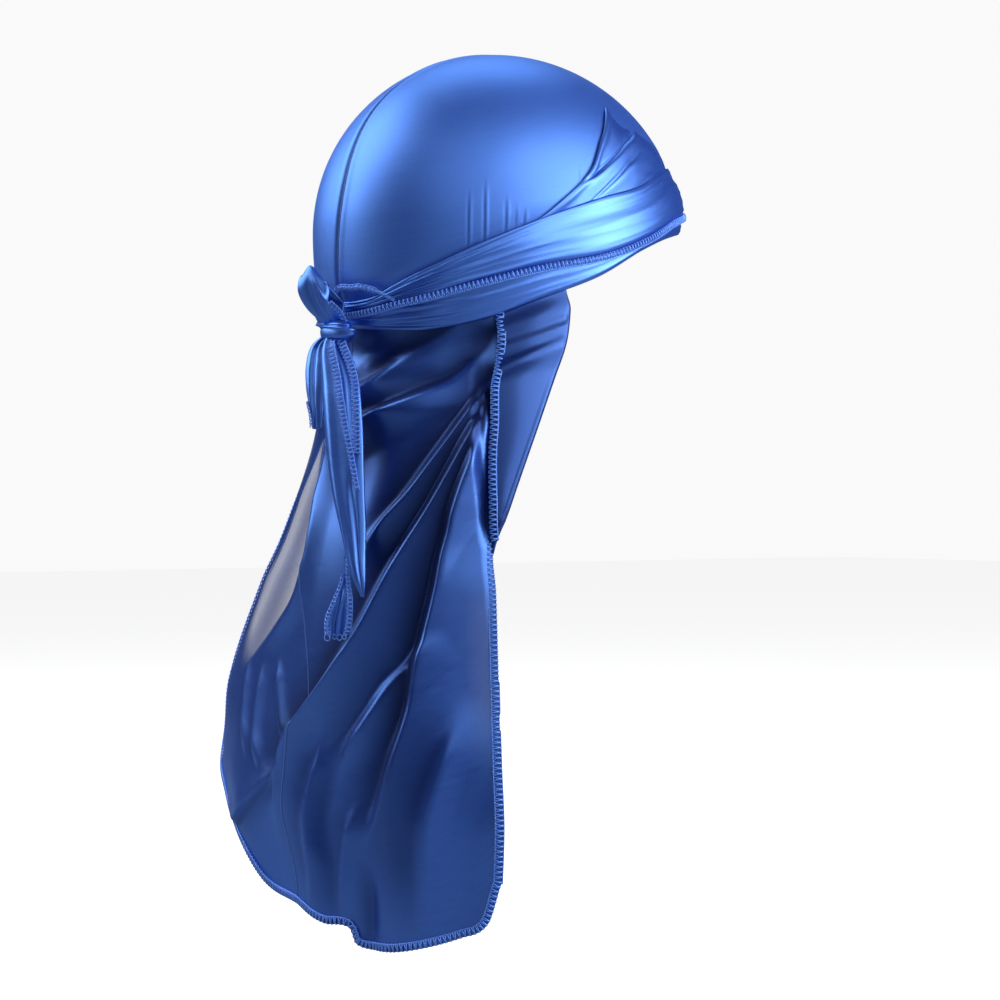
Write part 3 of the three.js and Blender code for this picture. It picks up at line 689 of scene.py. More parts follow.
# A path walked again in even steps, with its normals
def evenPath(points, normals, step):
    gaps = np.linalg.norm(np.diff(points, axis=0), axis=1)
    along = np.concatenate([[0], np.cumsum(gaps)])
    marks = np.linspace(0, along[-1], max(int(along[-1] / step), 2) + 1)

    def spread(rows):
        return np.stack([np.interp(marks, along, rows[:, axis]) for axis in range(3)], -1)

    return spread(points), unit(spread(normals)), marks


# Overlock stitches along a path: two threads wound against each other and a chain along one side.
# side moves them off the path by half their width, toward the cloth; width is at the path's two ends.
def overlock(points, normals, side, width, pitch, rise=0.0009):
    stepsPerStitch = 8
    points, normals, marks = evenPath(points, normals, pitch / stepsPerStitch)
    run = unit(np.gradient(points, axis=0))
    inward = unit(np.cross(normals, run))
    start, end = width if isinstance(width, tuple) else (width, width)
    reach = np.linspace(start, end, len(marks)) / 2
    middle = points + inward * (reach * side)[:, None]
    turn = marks / pitch * 2 * np.pi
    runs = []
    for way, phase in ((1, 0.0), (-1, np.pi / 2)):
        angle = way * turn + phase
        sway, hop = np.cos(angle) * reach, np.sin(angle) * rise
        runs.append(middle + inward * sway[:, None] + normals * hop[:, None])
    chain = reach * (0.92 + 0.10 * np.sin(turn * 2)) * (side or 1)
    runs.append(middle + inward * chain[:, None] + normals * (rise * 0.55))
    return runs


# Crown panels, one each side of the seam
crown = {
    "cut": (0.150, 0.290),
    "cutArea": 0.0290,
    "rows": 96,
    "columns": {1: 210, -1: 90},
    "denseTurns": (0, 48, 88, 180),  # the wrinkles stand between the middle two
    "denseShares": (0, 0.22, 0.74, 1),
}

# The seam over the crown: it bows toward the wearer's right over the back of the head, the cloth rises
# beside it and dips along it, and its stitches lie on top
seam = {
    "bow": 4.2,
    "bowAt": 0.018,
    "bowSpan": 0.036,
    "ridge": 0.0005,
    "ridgeAt": 0.0024,
    "ridgeBreadth": 0.0014,
    "groove": 0.0006,
    "grooveBreadth": 0.0007,
    "lift": -0.0006,
    "radius": 0.00045,
    "stitchAside": -0.0008,
    "stitchLift": -0.0001,
    "stitchPitch": 0.0026,
    "stitchPoints": 4,
    "pitchPoints": 6,
    "stitchArch": 0.0003,
    "stitchRadius": 0.00022,
}

# Short wrinkles that stand above the wraps, by turn: where they start and end over the wraps' top,
# in metres, and their height in millimetres
crownWrinkles = chart(
    "turn low high lift",
    (50.6, 0, 0.030, 0.22),
    (55.5, 0, 0.031, 0.25),
    (61.8, 0, 0.018, 0.18),
    (64.7, 0.003, 0.011, 0.10),
    (67.3, 0, 0.007, 0.16),
    (84.8, 0.009, 0.021, 0.16),
)


def wrinkleLift(turn, z):
    over = z - wrapAt(turn)["top"]
    lift = np.zeros(np.shape(z))
    for place, low, high, height in zip(*crownWrinkles.values()):
        away = (turn - place) * 1.5  # a degree is about 1.5 mm of cloth
        fade = ease(over, low - 0.004, low) * (1 - ease(over, high * 0.55, high))
        lift += height * fade * (bell(away / 0.7) - 0.9 * bell((away + 1.25) / 0.6))
    return lift / 1000


def seamTurn(z):
    return seam["bow"] * bell((z - seam["bowAt"]) / seam["bowSpan"])


def crownPlace(side):
    def place(u, v):
        turn = np.interp(u, crown["denseShares"], crown["denseTurns"])
        rim = wrapAt(turn)["rim"]
        climbRim = np.where(rim > 0, np.arcsin(np.clip(rim / crownHeight, -1, 1)), rim / crownHeight)
        climb = blend(climbRim, np.pi / 2, v)
        z = crownHeight * np.where(climb > 0, np.sin(climb), climb)
        lift = wrinkleLift(turn, z) if side > 0 else 0 * z
        nearSeam = np.abs(np.sin(np.radians(turn))) * halfWidth * ringShare(z)
        ridge = seam["ridge"] * bell((nearSeam - seam["ridgeAt"]) / seam["ridgeBreadth"])
        lift = lift + ridge - seam["groove"] * bell(nearSeam / seam["grooveBreadth"])
        shifted = turn + side * seamTurn(z) * (1 - ease(turn, 0, 60))
        points, normals = onCrown(shifted, z, lift)
        flip = np.array([side, 1, 1])
        return points * flip, normals * flip

    return place


for name, side in (("Right", 1), ("Left", -1)):
    panel = makeSheet(
        "crown" + name, ["crown_panel_" + name.lower()], crown["columns"][side], crown["rows"],
        crownPlace(side), crown["cut"], satinTaut)


# The seam's line from the nape or the brow to the top
def seamLine(turn, aside, lift):
    low = wrapAt(np.array(turn))["rim"] / crownHeight
    climb = np.linspace(low, np.pi / 2, 150)
    z = crownHeight * np.where(climb > 0, np.sin(climb), climb)
    turns = seamTurn(z) if turn == 0 else np.full(z.shape, float(turn))
    points, normals = onCrown(turns, z, lift)
    return points + (aside, 0, 0), normals


def wholeSeam(aside, lift):
    back, backNormals = seamLine(0, aside, lift)
    front, frontNormals = seamLine(180, aside, lift)
    return np.vstack([back, front[::-1][1:]]), np.vstack([backNormals, frontNormals[::-1][1:]])


def stitchRuns(points, normals):
    perPitch = seam["pitchPoints"]
    points, normals, _ = evenPath(points, normals, seam["stitchPitch"] / perPitch)
    arch = np.sin(np.linspace(0, np.pi, seam["stitchPoints"])) * seam["stitchArch"]
    runs = []
    for start in range(0, len(points) - perPitch, perPitch):
        part = slice(start, start + seam["stitchPoints"])
        runs.append(points[part] + normals[part] * arch[:, None])
    return runs


makeThreads("crownSeam", [wholeSeam(0.0, seam["lift"])[0]], seam["radius"], threadDark, ["crown_seam"])
stitches = stitchRuns(*wholeSeam(seam["stitchAside"], seam["stitchLift"]))
makeThreads("crownStitches", stitches, seam["stitchRadius"], threadDark)

# The pleated roots of the straps, from the front of the crown back under the wraps
rootEdge = chart(
    "turn height",
    (56, -0.155),
    (63, -0.060),
    (70, 0.000),
    (77, 0.100),
    (88, 0.285),
    (95, 0.460),
    (108, 0.670),
    (126, 0.650),
    (144, 0.570),
    (162, 0.470),
)
root = {
    "cut": (0.150, 0.070),
    "cutArea": 0.0075,
    "columns": 150,
    "rows": 60,
    "sinkTurns": (102, 113),  # toward the front its top edge sinks under the crown's cloth
    "sinkLevel": -0.0010,
    "sinkOver": (2, 22),
    "roll": 0.9,  # its rolled top edge, in millimetres
    "rollAt": 2.4,
}

# Creases on a root, from the back up to the front: four points of each by turn and share of the
# crown's height, then its height in millimetres
rootCreases = chart(
    "t0 h0 t1 h1 t2 h2 t3 h3 lift",
    (85.5, 0.215, 97.2, 0.353, 105.8, 0.451, 123.5, 0.604, 1.0),
    (86, 0.09, 95, 0.22, 104, 0.338, 118, 0.46, 0.55),
    (90, 0.06, 104, 0.19, 116, 0.30, 132, 0.40, 0.35),
)


def rootPlace(side):
    def place(u, v):
        turn = blend(rootEdge["turn"][0], rootEdge["turn"][-1], u)
        wrap = wrapAt(turn)
        top = readChart(rootEdge, "height", turn) * crownHeight
        z = blend(top, blend(wrap["low"], wrap["top"], 0.5), v)
        down = (top - z) * 1000
        sunk = ease(turn, *root["sinkTurns"])
        level = blend(wallLevel["root"], root["sinkLevel"], sunk * (1 - ease(down, *root["sinkOver"])))
        lift = root["roll"] * bell((down - root["rollAt"]) / root["rollAt"]) * (1 - sunk)
        for t0, h0, t1, h1, t2, h2, t3, h3, depth in zip(*rootCreases.values()):
            line = np.interp(turn, (t0, t1, t2, t3), (h0, h1, h2, h3)) * crownHeight
            away = (z - line) * 1000
            fade = ease(turn, t0 - 2, t0 + 4) * (1 - ease(turn, t3 - 12, t3))
            ridge = bell((away + 1.8) / np.where(away < -1.8, 4.5, 1.2))
            lift = lift + depth * fade * (ridge - 0.9 * bell((away - 0.4) / 0.7))
        shown = ease(z, wrap["top"] - 0.004, wrap["top"] + 0.004)
        points, normals = onCrown(turn, z, level + lift * shown / 1000)
        flip = np.array([side, 1, 1])
        return points * flip, normals * flip

    return place


for name, side in (("Right", 1), ("Left", -1)):
    pleats = makeSheet(
        "strapRoot" + name, ["strap_root_" + name.lower()], root["columns"], root["rows"], rootPlace(side),
        root["cut"], satinCloth)

# The two straps. Each runs from the knot round one side in the upper place, crosses at the front,
# and returns round the other side in the lower place.
strap = {
    "cut": (0.040, 0.520),
    "cutArea": 0.0140,
    "columns": 420,
    "rows": 36,
    "turns": (2, 358),
    "crossing": (150, 210),
    "flatten": 0.16,  # the pleats flatten between these turns from the knot, and gather again at the front
    "flattenTurns": (24, 78),
    "frontGather": 0.35,
    "frontSpan": 26,
    "edgeFall": 0.9,  # millimetres that an edge falls over its last breadth
    "edgeBreadth": 2.2,
}

# Folds that run along a strap: how many across, where they start, how they drift, and height in mm
strapPleats = chart(
    "count phase drift lift",
    (1.5, 0.10, 0.35, 1.00),
    (2.7, 0.55, -0.5, 0.75),
    (4.3, 0.20, 0.8, 0.30),
)


def strapSpan(turn, upperSide):
    wrap = wrapAt(turn)
    toLeft = ease(turn, *strap["crossing"])
    upper = 1 - toLeft if upperSide > 0 else toLeft
    lapped = np.minimum(wrap["stitch"] + durag["strapLap"], wrap["top"])
    return blend(lapped, wrap["top"], upper), blend(wrap["low"], wrap["stitch"], upper), upper


def strapPlace(isOuter):
    own = 1 if isOuter else -1

    def place(u, v):
        turn = blend(*strap["turns"], u)
        top, low, upper = strapSpan(turn, own)
        otherTop, otherLow, otherUpper = strapSpan(turn, -own)
        z = blend(top, low, v)
        free = np.maximum(np.maximum(z - otherTop, otherLow - z), 0)
        lap = durag["strapLap"]
        settled = ease(free, lap * 0.5, lap * 2)
        level = blend(wallLevel["outer"] if isOuter else wallLevel["inner"], wallLevel["inner"], settled)
        fromBack = np.minimum(turn, 360 - turn)
        gather = blend(1.0, strap["flatten"], ease(fromBack, *strap["flattenTurns"]))
        gather = gather + strap["frontGather"] * bell((turn - 180) / strap["frontSpan"])
        full = ease(fromBack, 0, 16)
        lift = np.zeros(z.shape)
        for count, phase, drift, height in zip(*strapPleats.values()):
            wave = np.sin(2 * np.pi * (count * v + phase + drift * fromBack / 90 + 0.3 * own))
            lift += height * (1 - np.abs(wave)) ** 1.3 * gather * full
        tuck = np.minimum(v, 1 - v) * (top - low) * 1000
        edge = strap["edgeFall"] * (1 - ease(tuck, 0, strap["edgeBreadth"]))
        covered = 1 if isOuter else ease(free, 0, lap * 0.6)
        points, normals = onCrown(turn, z, level + (lift * covered - edge) / 1000)
        return points, normals

    return place


straps = [
    makeSheet(
        "strap" + name, ["strap_wrap_" + side], strap["columns"], strap["rows"], strapPlace(name == "Outer"),
        strap["cut"][::-1], satinCloth)
    for name, side in (("Outer", "right"), ("Inner", "left"))
]

# The ladder of overlock stitches on the low hem of each strap, where it is the upper one
ladder = {
    "outerTurns": (3, 176),
    "innerTurns": (206, 357),
    "lift": 0.0007,
    "width": 0.0031,
    "pitch": 0.0021,
    "rise": 0.0006,
    "radius": 0.00028,
}


def ladderRuns(isOuter):
    turns = np.linspace(*ladder["outerTurns" if isOuter else "innerTurns"], 400)
    share = (turns - strap["turns"][0]) / (strap["turns"][1] - strap["turns"][0])
    points, normals = strapPlace(isOuter)(share, np.ones(len(turns)))
    points = points + normals * ladder["lift"]
    return overlock(points, normals, -1, ladder["width"], ladder["pitch"], ladder["rise"])


strapLadder = makeThreads("strapLadder", ladderRuns(True) + ladderRuns(False), ladder["radius"], threadBlue)
for piece, stitches in zip(straps, ([strapLadder], [])):
    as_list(stitches)

# The cape's two panels, its turned right edge and its seam
cape = {
    "rightCut": (0.165, 0.330),
    "rightArea": 0.0440,
    "leftCut": (0.150, 0.300),
    "leftArea": 0.0330,
    "rows": 236,
    "rightColumns": 176,
    "leftColumns": 90,
    "turnRound": 0.0019,
    "flapShare": 0.20,
    "roundShare": 0.06,
    "puff": 0.0012,
    "crumples": ((0.0009, 44, 12, 2.2), (0.0007, 55, 16, 2.4)),  # height, then place, slant, breadth in mm
    # Painted shade on the cape: some over all of it, more on its upper right, and a fixed amount on the
    # turned edge, whose reverse side is also duller
    "darkTone": 0.22,
    "upperShade": 0.24,
    "reverseDullAndShade": 0.80,
    "edgeSheer": 0.16,
    "wedgeSheer": (0.40, 0.60),
    "seamLift": -0.0001,
    "seamRadius": 0.0004,
}


def rightAcross(u):
    return np.clip(u / (1 - cape["flapShare"]), 0, 1)


def rightPlace(u, v):
    flat = 1 - cape["flapShare"]
    bend = flat + cape["roundShare"]
    across = rightAcross(u)
    z = capeHeight(across, v)
    panel, panelNormals = onCape(across, z)
    one = np.ones(len(u))
    edge, edgeNormals = onCape(one, z)
    inner, _ = onCape(one * 0.97, z)
    out = unit(edge - inner)
    angle = np.clip((u - flat) / cape["roundShare"], 0, 1) * np.pi
    width = readChart(turnedEdge, "width", -z / capeDrop)
    share = np.clip((u - bend) / (1 - bend), 0, 1)
    cloth = np.linalg.norm(capeBase(one, z) - capeBase(one * 0.9, z), axis=-1) / 0.1
    backAcross = 1 - width * share / cloth
    clear = ease(wrapAt(capeTurn(backAcross))["low"] - z, -0.001, 0.009)
    radius = np.minimum(cape["turnRound"], width * 0.4) * blend(0.1, 1, clear)
    outward, backward = radius * np.sin(angle), radius * (1 - np.cos(angle))
    rounding = edge + out * outward[:, None] + edgeNormals * backward[:, None]
    roundNormals = edgeNormals * np.cos(angle)[:, None] - out * np.sin(angle)[:, None]
    down = -z * 1000
    puff = cape["puff"] * np.sin(np.pi * share) * ease(width, 0.003, 0.012) * clear
    for height, at, slant, breadth in cape["crumples"]:
        puff = puff + height * bell((down - at - slant * share) / breadth)
    flap, flapNormals = onCape(backAcross, z, 0.0, folded=False)
    flap = flap + flapNormals * (radius * 2 + puff + width * clear * 0.08 * share)[:, None]
    isFlap = (u >= bend)[:, None]
    isRound = ((u > flat) & (u < bend))[:, None]
    points = np.where(isFlap, flap, np.where(isRound, rounding, panel))
    normals = np.where(isFlap, -flapNormals, np.where(isRound, roundNormals, panelNormals))
    return points, normals


def leftPlace(u, v):
    across = u - 1
    return onCape(across, capeHeight(across, v))


# The thin places that let the light through: a wedge on the left panel, whose inner side is the line of
# the fold there, and a strip down the right panel's edge
sheerWedge = chart(
    "drop inner outer",
    (0.26, -0.06, -0.80),
    (0.304, -0.03, -0.90),
    (0.42, 0.03, -0.98),
    (0.50, -0.03, -0.98),
    (0.56, -0.25, -0.92),
    (0.632, -0.56, -0.75),
    (0.66, -0.70, -0.75),
)


def rightSheer(u, v):
    across = rightAcross(u)
    drop = -capeHeight(across, v) / capeDrop
    strip = ease(across, 0.80, 0.94) * ease(drop, 0.45, 0.54) * (1 - ease(drop, 0.64, 0.78))
    return cape["edgeSheer"] * strip


# The hanging cloth gets painted shade that makes it darker than the taut cloth above, most of all in its
# valleys and its upper right
def capeShade(across, v):
    z = capeHeight(across, v)
    drop = -z / capeDrop
    upper = ease(across, 0.05, 0.4) * ease(drop, 0.18, 0.30) * (1 - ease(drop, 0.50, 0.72))
    return blend(cape["darkTone"] + cape["upperShade"] * upper, 1, foldForm(across, z)[1])


# The turned edge shows the cloth's duller reverse side and gets a fixed painted shade as well
def rightShade(u, v):
    return np.where(u < 1 - cape["flapShare"], capeShade(rightAcross(u), v), cape["reverseDullAndShade"])


def leftShade(u, v):
    return capeShade(u - 1, v)


def leftSheer(u, v):
    across = u - 1
    drop = -capeHeight(across, v) / capeDrop
    inner = readChart(sheerWedge, "inner", drop)
    outer = readChart(sheerWedge, "outer", drop)
    wedge = (1 - ease(across, inner - 0.05, inner)) * ease(across, outer, outer + 0.34)
    wedge = wedge * ease(drop, 0.22, 0.34) * (1 - ease(drop, 0.60, 0.66))
    streaks = 0.5 + 0.5 * np.sin(across * 14 + drop * 30)
    return wedge * blend(*cape["wedgeSheer"], streaks)


# Each cape panel carries its painted shade as the shade attribute
capeRight = makeSheet(
    "capeRight", ["cape_panel_right"], cape["rightColumns"], cape["rows"], rightPlace, cape["rightCut"],
    satinCape, attributes={"sheer": rightSheer, "shade": rightShade})
capeLeft = makeSheet(
    "capeLeft", ["cape_panel_left"], cape["leftColumns"], cape["rows"], leftPlace, cape["leftCut"],
    satinCape, attributes={"sheer": leftSheer, "shade": leftShade})


def capeSeamLine():
    middle = np.zeros(300)
    return onCape(middle, capeHeight(middle, np.linspace(0, 1, 300)), cape["seamLift"])[0]


makeThreads("capeSeam", [capeSeamLine()], cape["seamRadius"], seamBlue, ["cape_seam"])

# The overlocked edge round the cape: down the turned edge, down the right side, round the hem
# and up the left side
edging = {"width": 0.0036, "pitch": 0.0023, "radius": 0.00032, "behind": 0.0010, "leastTurn": 0.0012}


def clearOfWraps(across, down):
    z = capeHeight(across, down)
    return z < wrapAt(capeTurn(across))["low"] + 0.001


def turnedEdgeLine():
    down = np.linspace(0, 1, 300)
    one = np.ones(300)
    z = capeHeight(one, down)
    turned = readChart(turnedEdge, "width", -z / capeDrop) > edging["leastTurn"]
    shown = clearOfWraps(one, down) & turned
    points, normals = rightPlace(one, down)
    return (points - normals * edging["behind"])[shown], -normals[shown]


def capeEdgeLine():
    down = np.linspace(0, 1, 300)
    one = np.ones(300)
    z = capeHeight(one, down)
    flat = readChart(turnedEdge, "width", -z / capeDrop) <= edging["leastTurn"]
    right = onCape(one, z)
    across = np.linspace(1, -1, 500)
    low = onCape(across, capeHeight(across, np.ones(500)))
    up = down[::-1]
    left = onCape(-one, capeHeight(-one, up))
    shown = clearOfWraps(-one, up)
    points = np.vstack([right[0][flat], low[0][1:], left[0][shown][1:]])
    normals = np.vstack([right[1][flat], low[1][1:], left[1][shown][1:]])
    return points, normals


capeEdging = makeThreads(
    "capeEdging",
    overlock(*turnedEdgeLine(), 1, edging["width"], edging["pitch"])
    + overlock(*capeEdgeLine(), -1, edging["width"], edging["pitch"]),
    edging["radius"], threadBlue)

# The knot: a strap wrapped flat round the others, with one sharp fold along its top
knot = {"width": 0.0215, "height": 0.0118, "depth": 0.0125, "boxed": 0.75}
knotPlace = (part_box("strap_knot")[0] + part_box("strap_knot")[1]) / 2

# Ridges and valleys along the knot, as shares of its size: where, how broad and how high
knotFolds = chart(
    "at breadth height",
    (0.36, 0.10, 0.10),
    (0.58, 0.09, -0.14),
    (-0.42, 0.10, -0.10),
    (-0.05, 0.30, 0.05),
)


def makeKnot():
    ball = bmesh.new()
    bmesh.ops.create_uvsphere(ball, u_segments=96, v_segments=72, radius=1)
    mesh = bpy.data.meshes.new("tiedKnot")
    ball.to_mesh(mesh)
    ball.free()
    across, deep, height = readVertices(mesh, "co").T
    slant = height - 0.16 * across + 0.10 * across ** 2
    fold = 0
    for at, breadth, raised in zip(*knotFolds.values()):
        fold = fold + raised * bell((slant - at) / breadth)
    broad = across * (1 + 0.10 * bell((slant - 0.2) / 0.3))
    boxed = np.sign(height) * np.abs(height) ** knot["boxed"]
    place = np.stack([broad, deep, boxed], -1) * (1 + fold)[:, None]
    place = place * (knot["width"] / 2, knot["depth"] / 2, knot["height"] / 2) + np.array(knotPlace)
    mesh.vertices.foreach_set("co", place.astype(np.float32).ravel())
    layCloth(mesh, place[:, (0, 2)])
    mesh.shade_smooth()
    piece = addPiece("tiedKnot", mesh)
    finishPiece(piece, ["strap_knot"], satinCloth)


makeKnot()


# The level direction across a hanging piece that faces a turn, and the direction that it faces
def facing(turn):
    angle = np.radians(turn)
    return np.array((-np.cos(angle), -np.sin(angle), 0)), np.array((-np.sin(angle), np.cos(angle), 0))


# The half bow: a strap bent on itself above the knot. Its right side opens as a small hole.
bow = {
    "cut": (0.020, 0.056),
    "cutArea": 0.00098,
    "foot": -0.0462,
    "face": 15,
    "heights": (0.0275, 0.0190),  # at its left and its right side
    "droop": 0.0045,
    "flatTube": 0.0030,
    "openTube": 0.0042,
    "least": 0.0006,
    "creases": (-0.50, 0.02),
    "creaseDepth": 0.0011,
    "curl": 0.0016,
    "hemTurns": (0.05, 0.24),
}
bowPath = chart(
    "rise x y width",
    (0, -0.0050, 0.0995, 0.0120),
    (0.3, -0.0030, 0.1030, 0.0180),
    (0.65, -0.0012, 0.1060, 0.0200),
    (1, 0.0004, 0.1075, 0.0160),
)


def bowPlace(u, v):
    wide, out = facing(bow["face"])
    angle = v * 2 * np.pi
    rise = (1 - np.cos(angle)) / 2
    side = u * 2 - 1
    height = blend(*bow["heights"], ease(side, -0.35, 1)) - bow["droop"] * ease(-side, 0.3, 1)
    openSide = ease(side, 0.2, 0.9)
    tube = bow["flatTube"] * (1 - openSide) + bow["openTube"] * bell((rise - 0.50) / 0.24) * openSide
    front = np.sin(angle)
    outer = np.clip(front, 0, 1)
    creases = sum(bell((side - place - 0.25 * rise) / 0.16) for place in bow["creases"])
    creased = outer * bow["creaseDepth"] * creases * (1 - ease(rise, 0.45, 0.85))
    depth = front * (tube + bow["least"]) - creased
    curl = bow["curl"] * bell((rise - 0.5) / 0.2) * ease(side, 0.6, 1) * outer
    width = readChart(bowPath, "width", rise)
    x, y = readChart(bowPath, "x", rise), readChart(bowPath, "y", rise)
    centre = stack(x, y, bow["foot"] + rise * height)
    points = centre + wide * (side * width / 2 - curl)[:, None] + out * depth[:, None]
    normals = unit(out * front[:, None] - np.array((0, 0, 0.3)) * np.cos(angle)[:, None])
    return points, normals


bowLoop = makeSheet("halfBow", ["bow_loop"], 60, 110, bowPlace, bow["cut"], satinCloth, closed=True)


def bowHem():
    points, normals = bowPlace(np.ones(80), np.linspace(*bow["hemTurns"], 80))
    return overlock(points + normals * 0.0004, normals, -1, 0.0028, 0.0019, 0.0006)


bowHems = makeThreads("halfBowHems", bowHem(), 0.00024, threadBlue)

# The overlocked strand from the half bow to the top of the wraps: places in millimetres
strandPath = chart(
    "along x y z",
    (0, -8.0, 100.5, -31.0),
    (0.15, -11.7, 99.6, -29.8),
    (0.35, -17.0, 97.3, -30.2),
    (0.55, -21.0, 95.4, -30.0),
    (0.8, -28.0, 91.2, -32.2),
    (1, -35.5, 86.4, -36.5),
)


def strandLine(end):
    along = np.linspace(0, end, 60)
    points = stack(*(readChart(strandPath, axis, along) for axis in "xyz")) / 1000
    return points, unit(points * (1, 1, 0))


strandHem = overlock(*strandLine(0.8), 0, 0.0028, 0.0021, 0.0011)
makeThreads("bowStrand", [strandLine(1)[0]], 0.0009, threadBlue, ["bow_strand"], sides=3)
makeThreads("bowStrandHem", strandHem, 0.00026, threadBlue)

# The two tails hang from the knot: the middle of each, its width and how far down, in millimetres
longPath = chart(
    "down x y width",
    (52.0, -7.5, 100.0, 9.0),
    (55.6, -8.8, 101.5, 12.0),
    (59.9, -10.9, 102.5, 15.6),
    (66.2, -14.2, 103.2, 18.6),
    (73.3, -17.5, 104.0, 20.2),
    (82.8, -21.2, 105.5, 20.6),
    (96.8, -25.3, 107.0, 20.5),
    (115.2, -29.8, 108.5, 18.9),
    (129.0, -33.9, 109.5, 16.7),
    (142.7, -38.1, 110.0, 13.5),
    (154.4, -41.4, 110.5, 10.0),
    (165.3, -44.7, 111.0, 6.2),
    (172.9, -46.8, 111.0, 1.6),
)
tipPath = chart(
    "down x y width",
    (150.0, -35.5, 112.0, 2.0),
    (165.4, -36.0, 113.0, 3.4),
    (174.5, -35.9, 114.0, 8.6),
    (183.7, -33.7, 114.5, 12.6),
    (191.5, -33.2, 115.0, 11.0),
)
shortPath = chart(
    "down x y width",
    (50.0, -2.0, 99.5, 6.0),
    (56.0, 5.6, 101.5, 8.6),
    (65.4, 4.5, 104.0, 11.4),
    (74.9, 2.1, 105.5, 11.4),
    (82.0, 0.8, 106.0, 9.6),
    (89.1, -0.9, 106.5, 7.0),
    (95.7, -1.7, 107.0, 5.6),
)
tails = {
    "long": {
        "path": longPath,
        "face": 25,
        "cut": (0.036, 0.124),
        "area": 0.0019,
        "body": 0.0030,
        "valley": 0.0020,  # between its two hems, then along the middle of its lower half
        "lowValley": 0.0012,
        "ridge": 0.0012,
    },
    "tip": {
        "path": tipPath,
        "face": 25,
        "cut": (0.014, 0.042),
        "area": 0.00033,
        "body": 0.0010,
        "waves": 0.0012,
        "loops": ((0.08, 0.0030), (0.36, 0.0022), (0.62, 0.0026), (0.90, 0.0020)),
        "loopsAt": 0.97,
    },
    "short": {
        "path": shortPath,
        "face": 20,
        "cut": (0.026, 0.048),
        "area": 0.00045,
        "body": 0.0022,
        "valley": 0.0014,
    },
}

# The valley between the long tail's two overlocked hems, by the share of the way down
hemValley = chart("along side", (0, 0.30), (0.1, 0.52), (0.3, 0.57), (0.45, 0.62), (1, 0.70))


def longFolds(tail, side, v, slim):
    valley = readChart(hemValley, "side", v)
    lift = -tail["valley"] * bell((side - valley) / 0.11) * (1 - ease(v, 0.34, 0.50))
    lift = lift - tail["lowValley"] * bell((side - 0.35) / 0.16) * ease(v, 0.5, 0.7) * slim
    return lift + tail["ridge"] * bell((side + 0.62) / 0.30) * slim


def tipFolds(tail, side, v, slim):
    return tail["waves"] * np.cos(side * 7.5) * ease(v, 0.4, 0.8)


def shortFolds(tail, side, v, slim):
    return -tail["valley"] * bell((side - 0.1 + v * 0.4) / 0.22)


def tailPlace(tail, folds):
    path = tail["path"]
    wide, out = facing(tail["face"])

    def place(u, v):
        down = blend(path["down"][0], path["down"][-1], v)
        side = u * 2 - 1
        width = readChart(path, "width", down) / 1000
        centre = stack(readChart(path, "x", down), readChart(path, "y", down), -down) / 1000
        slim = ease(width, 0.001, 0.010)
        body = tail["body"] * slim * np.sqrt(np.clip(1 - side ** 2, 0, 1)) + folds(tail, side, v, slim)
        normals = unit(out + wide * (side * 0.5 * slim)[:, None])
        return centre + wide * (side * width / 2)[:, None] + out * body[:, None], normals

    return place


def makeTail(name, nodes, folds, columns, rows):
    tail = tails[name]
    place = tailPlace(tail, folds)
    sheet = makeSheet("tail" + name.capitalize(), nodes, columns, rows, place, tail["cut"], satinCloth)
    return place


longPlace = makeTail("long", ["tail_long"], longFolds, 64, 150)
tipPlace = makeTail("tip", [], tipFolds, 30, 60)
shortPlace = makeTail("short", ["tail_short"], shortFolds, 36, 70)


# A hem down a tail: its side of the tail, -1 to 1, is one number or goes by the share of the way down
def tailHem(place, sides, start, end, width, pitch, rise):
    v = np.linspace(start, end, 160)
    side = np.interp(v, *sides) if isinstance(sides, tuple) else np.full(len(v), sides)
    points, normals = place((side + 1) / 2, v)
    return overlock(points + normals * 0.0005, normals, 0, width, pitch, rise)


# The long tail's two hems meet a third of the way down and run on as one; the tip ends in loose loops
innerHem = ((0, 0.05, 0.22, 0.36, 0.46, 0.62), (-0.10, -0.02, 0.08, 0.26, 0.46, 0.74))
outerHem = ((0, 0.05, 0.20, 0.34, 0.46), (0.70, 0.80, 0.84, 0.78, 0.74))
hems = (
    (longPlace, innerHem, 0.03, 0.60, (0.0050, 0.0022), 0.0021, 0.0007),
    (longPlace, outerHem, 0.02, 0.46, (0.0040, 0.0034), 0.0021, 0.0007),
    (tipPlace, 0.92, 0.02, 0.97, (0.0016, 0.0030), 0.0019, 0.0007),
    (tipPlace, -0.92, 0.30, 0.97, (0.0014, 0.0030), 0.0019, 0.0007),
    (shortPlace, -0.86, 0.72, 0.98, (0.0012, 0.0022), 0.0019, 0.0005),
)


def looseLoops():
    tip = tails["tip"]
    wide, out = facing(tip["face"])
    angle = np.linspace(0, 2 * np.pi, 25)
    ring = wide * np.sin(angle)[:, None] + np.array((0, 0, -1.0)) * (1 - np.cos(angle))[:, None]
    runs = []
    for u, size in tip["loops"]:
        point, _ = tipPlace(np.array([u]), np.array([tip["loopsAt"]]))
        runs.append(point + out * 0.0008 + ring * size * 0.5)
    return runs


hemRuns = [run for hemLine in hems for run in tailHem(*hemLine)]
makeThreads("tailHems", hemRuns + looseLoops(), 0.00025, threadBlue)

# Floor, light and camera
stage = {
    "floorDrop": 0.02,
    "floorSize": 12.0,
    "paper": (0.30, 0.305, 0.31, 1),
    "floorGlow": 0.90,
    "ambient": 0.025,
    "backdrop": 0.95,
}


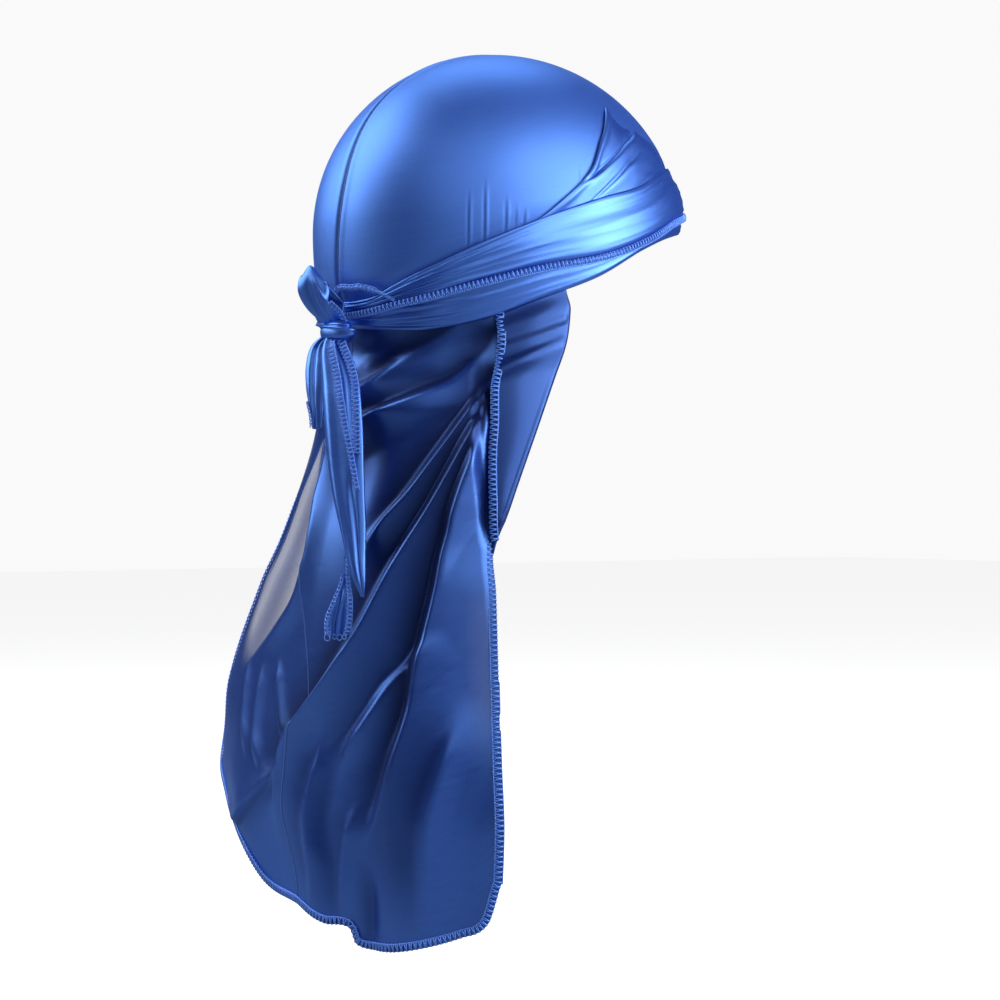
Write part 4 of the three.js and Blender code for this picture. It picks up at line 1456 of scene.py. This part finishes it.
def makeFloor():
    level = cadLow.z - stage["floorDrop"]
    bpy.ops.mesh.primitive_plane_add(size=stage["floorSize"], location=(0, 0, level))
    floor = bpy.context.object
    floor.name = "floor"
    paper = Finish("pale paper")
    seen = paper.node("ShaderNodeLightPath")
    floor.data.materials.append(paper.close(paper.node("ShaderNodeBsdfPrincipled", {}, {
        "Base Color": stage["paper"],
        "Roughness": 0.9,
        "Emission Color": (1, 1, 1, 1),
        "Emission Strength": seen * stage["floorGlow"],
    })))


makeFloor()

# Softboxes, by turn and elevation about the middle of the object
lights = chart(
    "turn elevation distance wide tall power",
    (114, 24, 1.5, 1.4, 1.4, 24),
    (136, 10, 1.5, 0.9, 0.9, 13),
    (-48, 36, 1.5, 1.4, 1.4, 28),
    (-125, 62, 1.6, 0.9, 0.9, 7),
    (62, 34, 1.6, 1.6, 1.6, 8),
)


def makeLights():
    middle = Vector((0, 0, -0.08))
    for turn, elevation, distance, wide, tall, power in zip(*lights.values()):
        lamp = bpy.data.lights.new("softbox", "AREA")
        lamp.shape = "RECTANGLE"
        lamp.size = wide
        lamp.size_y = tall
        lamp.energy = power
        around, up = np.radians((turn, elevation))
        toward = Vector((-np.sin(around) * np.cos(up), np.cos(around) * np.cos(up), np.sin(up)))
        box = addPiece("softbox", lamp)
        box.location = middle + toward * distance
        box.rotation_mode = "QUATERNION"
        box.rotation_quaternion = toward.to_track_quat("Z", "Y")


makeLights()


def makeWorld():
    world = bpy.data.worlds.new("studio")
    world.use_nodes = True
    nodes, links = world.node_tree.nodes, world.node_tree.links
    nodes.clear()
    path = nodes.new("ShaderNodeLightPath")
    dim = nodes.new("ShaderNodeBackground")
    dim.inputs["Color"].default_value = (0.80, 0.88, 1.0, 1)
    dim.inputs["Strength"].default_value = stage["ambient"]
    pale = nodes.new("ShaderNodeBackground")
    pale.inputs["Color"].default_value = (1, 1, 1, 1)
    pale.inputs["Strength"].default_value = stage["backdrop"]
    mixed = nodes.new("ShaderNodeMixShader")
    links.new(path.outputs["Is Camera Ray"], mixed.inputs[0])
    links.new(dim.outputs[0], mixed.inputs[1])
    links.new(pale.outputs[0], mixed.inputs[2])
    links.new(mixed.outputs[0], nodes.new("ShaderNodeOutputWorld").inputs[0])
    bpy.context.scene.world = world


makeWorld()
bpy.context.scene.view_settings.view_transform = "Standard"

camera = {"place": (-0.9708, 0.7053, -0.129), "look": (0.80902, -0.58779, 0), "lens": 87.27, "sensor": 36}


def makeCamera():
    data = bpy.data.cameras.new("camera")
    data.lens = camera["lens"]
    data.sensor_width = camera["sensor"]
    eye = addPiece("camera", data)
    eye.location = camera["place"]
    eye.rotation_mode = "QUATERNION"
    eye.rotation_quaternion = Vector(camera["look"]).to_track_quat("-Z", "Y")
    bpy.context.scene.camera = eye


makeCamera()
print("stage set")
